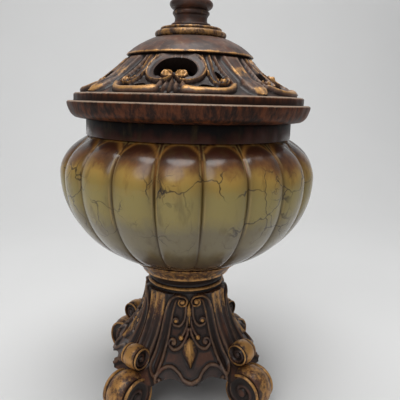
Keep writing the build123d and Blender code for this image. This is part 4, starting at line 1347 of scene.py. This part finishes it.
class URN_OT_stage(Operator):
    """Make the floor, the lights and the camera"""

    bl_idname = "urn.stage"
    bl_label = "Stage"

    # Name, place, target, width and power
    lamps = (
        ("overhead_softbox", (-0.05, -0.12, 1.35), (0, 0, 0.2), 0.95, 11.5),
        ("front_fill", (-0.6, -1.1, 1.35), (0, 0, 0.15), 1.2, 9),
        ("wall_wash", (0.55, 0.3, 1.5), (0.3, 1.0, 0.5), 0.9, 2.4),
    )

    def execute(self, context):
        scene = context.scene
        self.backdrop()
        for lamp in self.lamps:
            self.light(*lamp)
        world = bpy.data.worlds.new("soft_room")
        world.use_nodes = True
        room = world.node_tree.nodes["Background"]
        room.inputs["Color"].default_value = (*scene.urn_stage.room_tint, 1)
        room.inputs["Strength"].default_value = scene.urn_stage.room_light
        scene.world = world
        scene.view_settings.view_transform = "Standard"
        self.camera(scene)
        return {"FINISHED"}

    @staticmethod
    def backdrop():
        """Floor that bends up into a wall behind the urn."""
        form = bmesh.new()
        line = [(-2.5, 0), *arc((0.5, 0.5), (0.5, 0.5), -90, 0, 20), (1.0, 3)]
        corners = [form.verts.new((-3, y, z)) for y, z in line]
        edges = [form.edges.new(pair) for pair in zip(corners, corners[1:])]
        far_side = points_in(bmesh.ops.extrude_edge_only(form, edges=edges))
        bmesh.ops.translate(form, verts=far_side, vec=(6, 0, 0))
        bmesh.ops.recalc_face_normals(form, faces=form.faces)
        floor = shown("backdrop", form, backdrop_paper("backdrop_paper"))

    @staticmethod
    def light(name, place, target, size, power):
        lamp = bpy.data.lights.new(name, "AREA")
        lamp.shape = "DISK"
        lamp.size = size
        lamp.energy = power
        holder = linked(name, lamp)
        holder.location = place
        holder.rotation_euler = (Vector(target) - Vector(place)).to_track_quat("-Z", "Y").to_euler()

    @staticmethod
    def camera(scene):
        stage = scene.urn_stage
        lens = bpy.data.cameras.new("camera")
        lens.lens = stage.focal
        lens.sensor_width = 36
        lens.clip_start = 0.01
        holder = linked("camera", lens)
        level, down = stage.heading, stage.tilt
        ahead = Vector((math.sin(level) * math.cos(down), math.cos(level) * math.cos(down), -math.sin(down)))
        side = Vector((math.cos(level), -math.sin(level), 0))
        over = side.cross(ahead)
        right = side * math.cos(stage.roll) + over * math.sin(stage.roll)
        up = over * math.cos(stage.roll) - side * math.sin(stage.roll)
        turn = Matrix((right, up, -ahead)).transposed().to_4x4()
        place = Vector((math.sin(stage.azimuth), -math.cos(stage.azimuth), 0)) * stage.distance
        holder.matrix_world = Matrix.Translation(place + Vector((0, 0, stage.camera_z))) @ turn
        scene.camera = holder


class URN_PT_panel(Panel):
    """Lists the urn's pieces and sizes"""

    bl_idname = "URN_PT_panel"
    bl_label = "Covered Urn"
    bl_space_type = "VIEW_3D"
    bl_region_type = "UI"
    bl_category = "Urn"

    def draw(self, context):
        layout = self.layout
        for operator in OPERATORS:
            layout.operator(operator.bl_idname)
        for name in SETTINGS:
            box = layout.box()
            group = getattr(context.scene, name)
            for key in group.__annotations__:
                box.prop(group, key)


SETTINGS = {
    "urn_bowl": UrnBowlSizes,
    "urn_pedestal": UrnPedestalSizes,
    "urn_lid": UrnLidSizes,
    "urn_finishes": UrnFinishes,
    "urn_stage": UrnStageSizes,
}
OPERATORS = (
    URN_OT_stage,
    URN_OT_bowl,
    URN_OT_seat,
    URN_OT_pedestal,
    URN_OT_scrolls,
    URN_OT_lid,
    URN_OT_cap,
    URN_OT_finial,
    URN_OT_soft_parts,
    URN_OT_hardware,
)


def register():
    for kind in (*SETTINGS.values(), *OPERATORS, URN_PT_panel):
        bpy.utils.register_class(kind)
    for name, kind in SETTINGS.items():
        setattr(bpy.types.Scene, name, PointerProperty(type=kind))


def unregister():
    for name in SETTINGS:
        delattr(bpy.types.Scene, name)
    for kind in (URN_PT_panel, *reversed(OPERATORS), *reversed(list(SETTINGS.values()))):
        bpy.utils.unregister_class(kind)


def main():
    register()
    for operator in OPERATORS:
        group, name = operator.bl_idname.split(".")
        getattr(getattr(bpy.ops, group), name)()


if __name__ == "__main__":
    main()
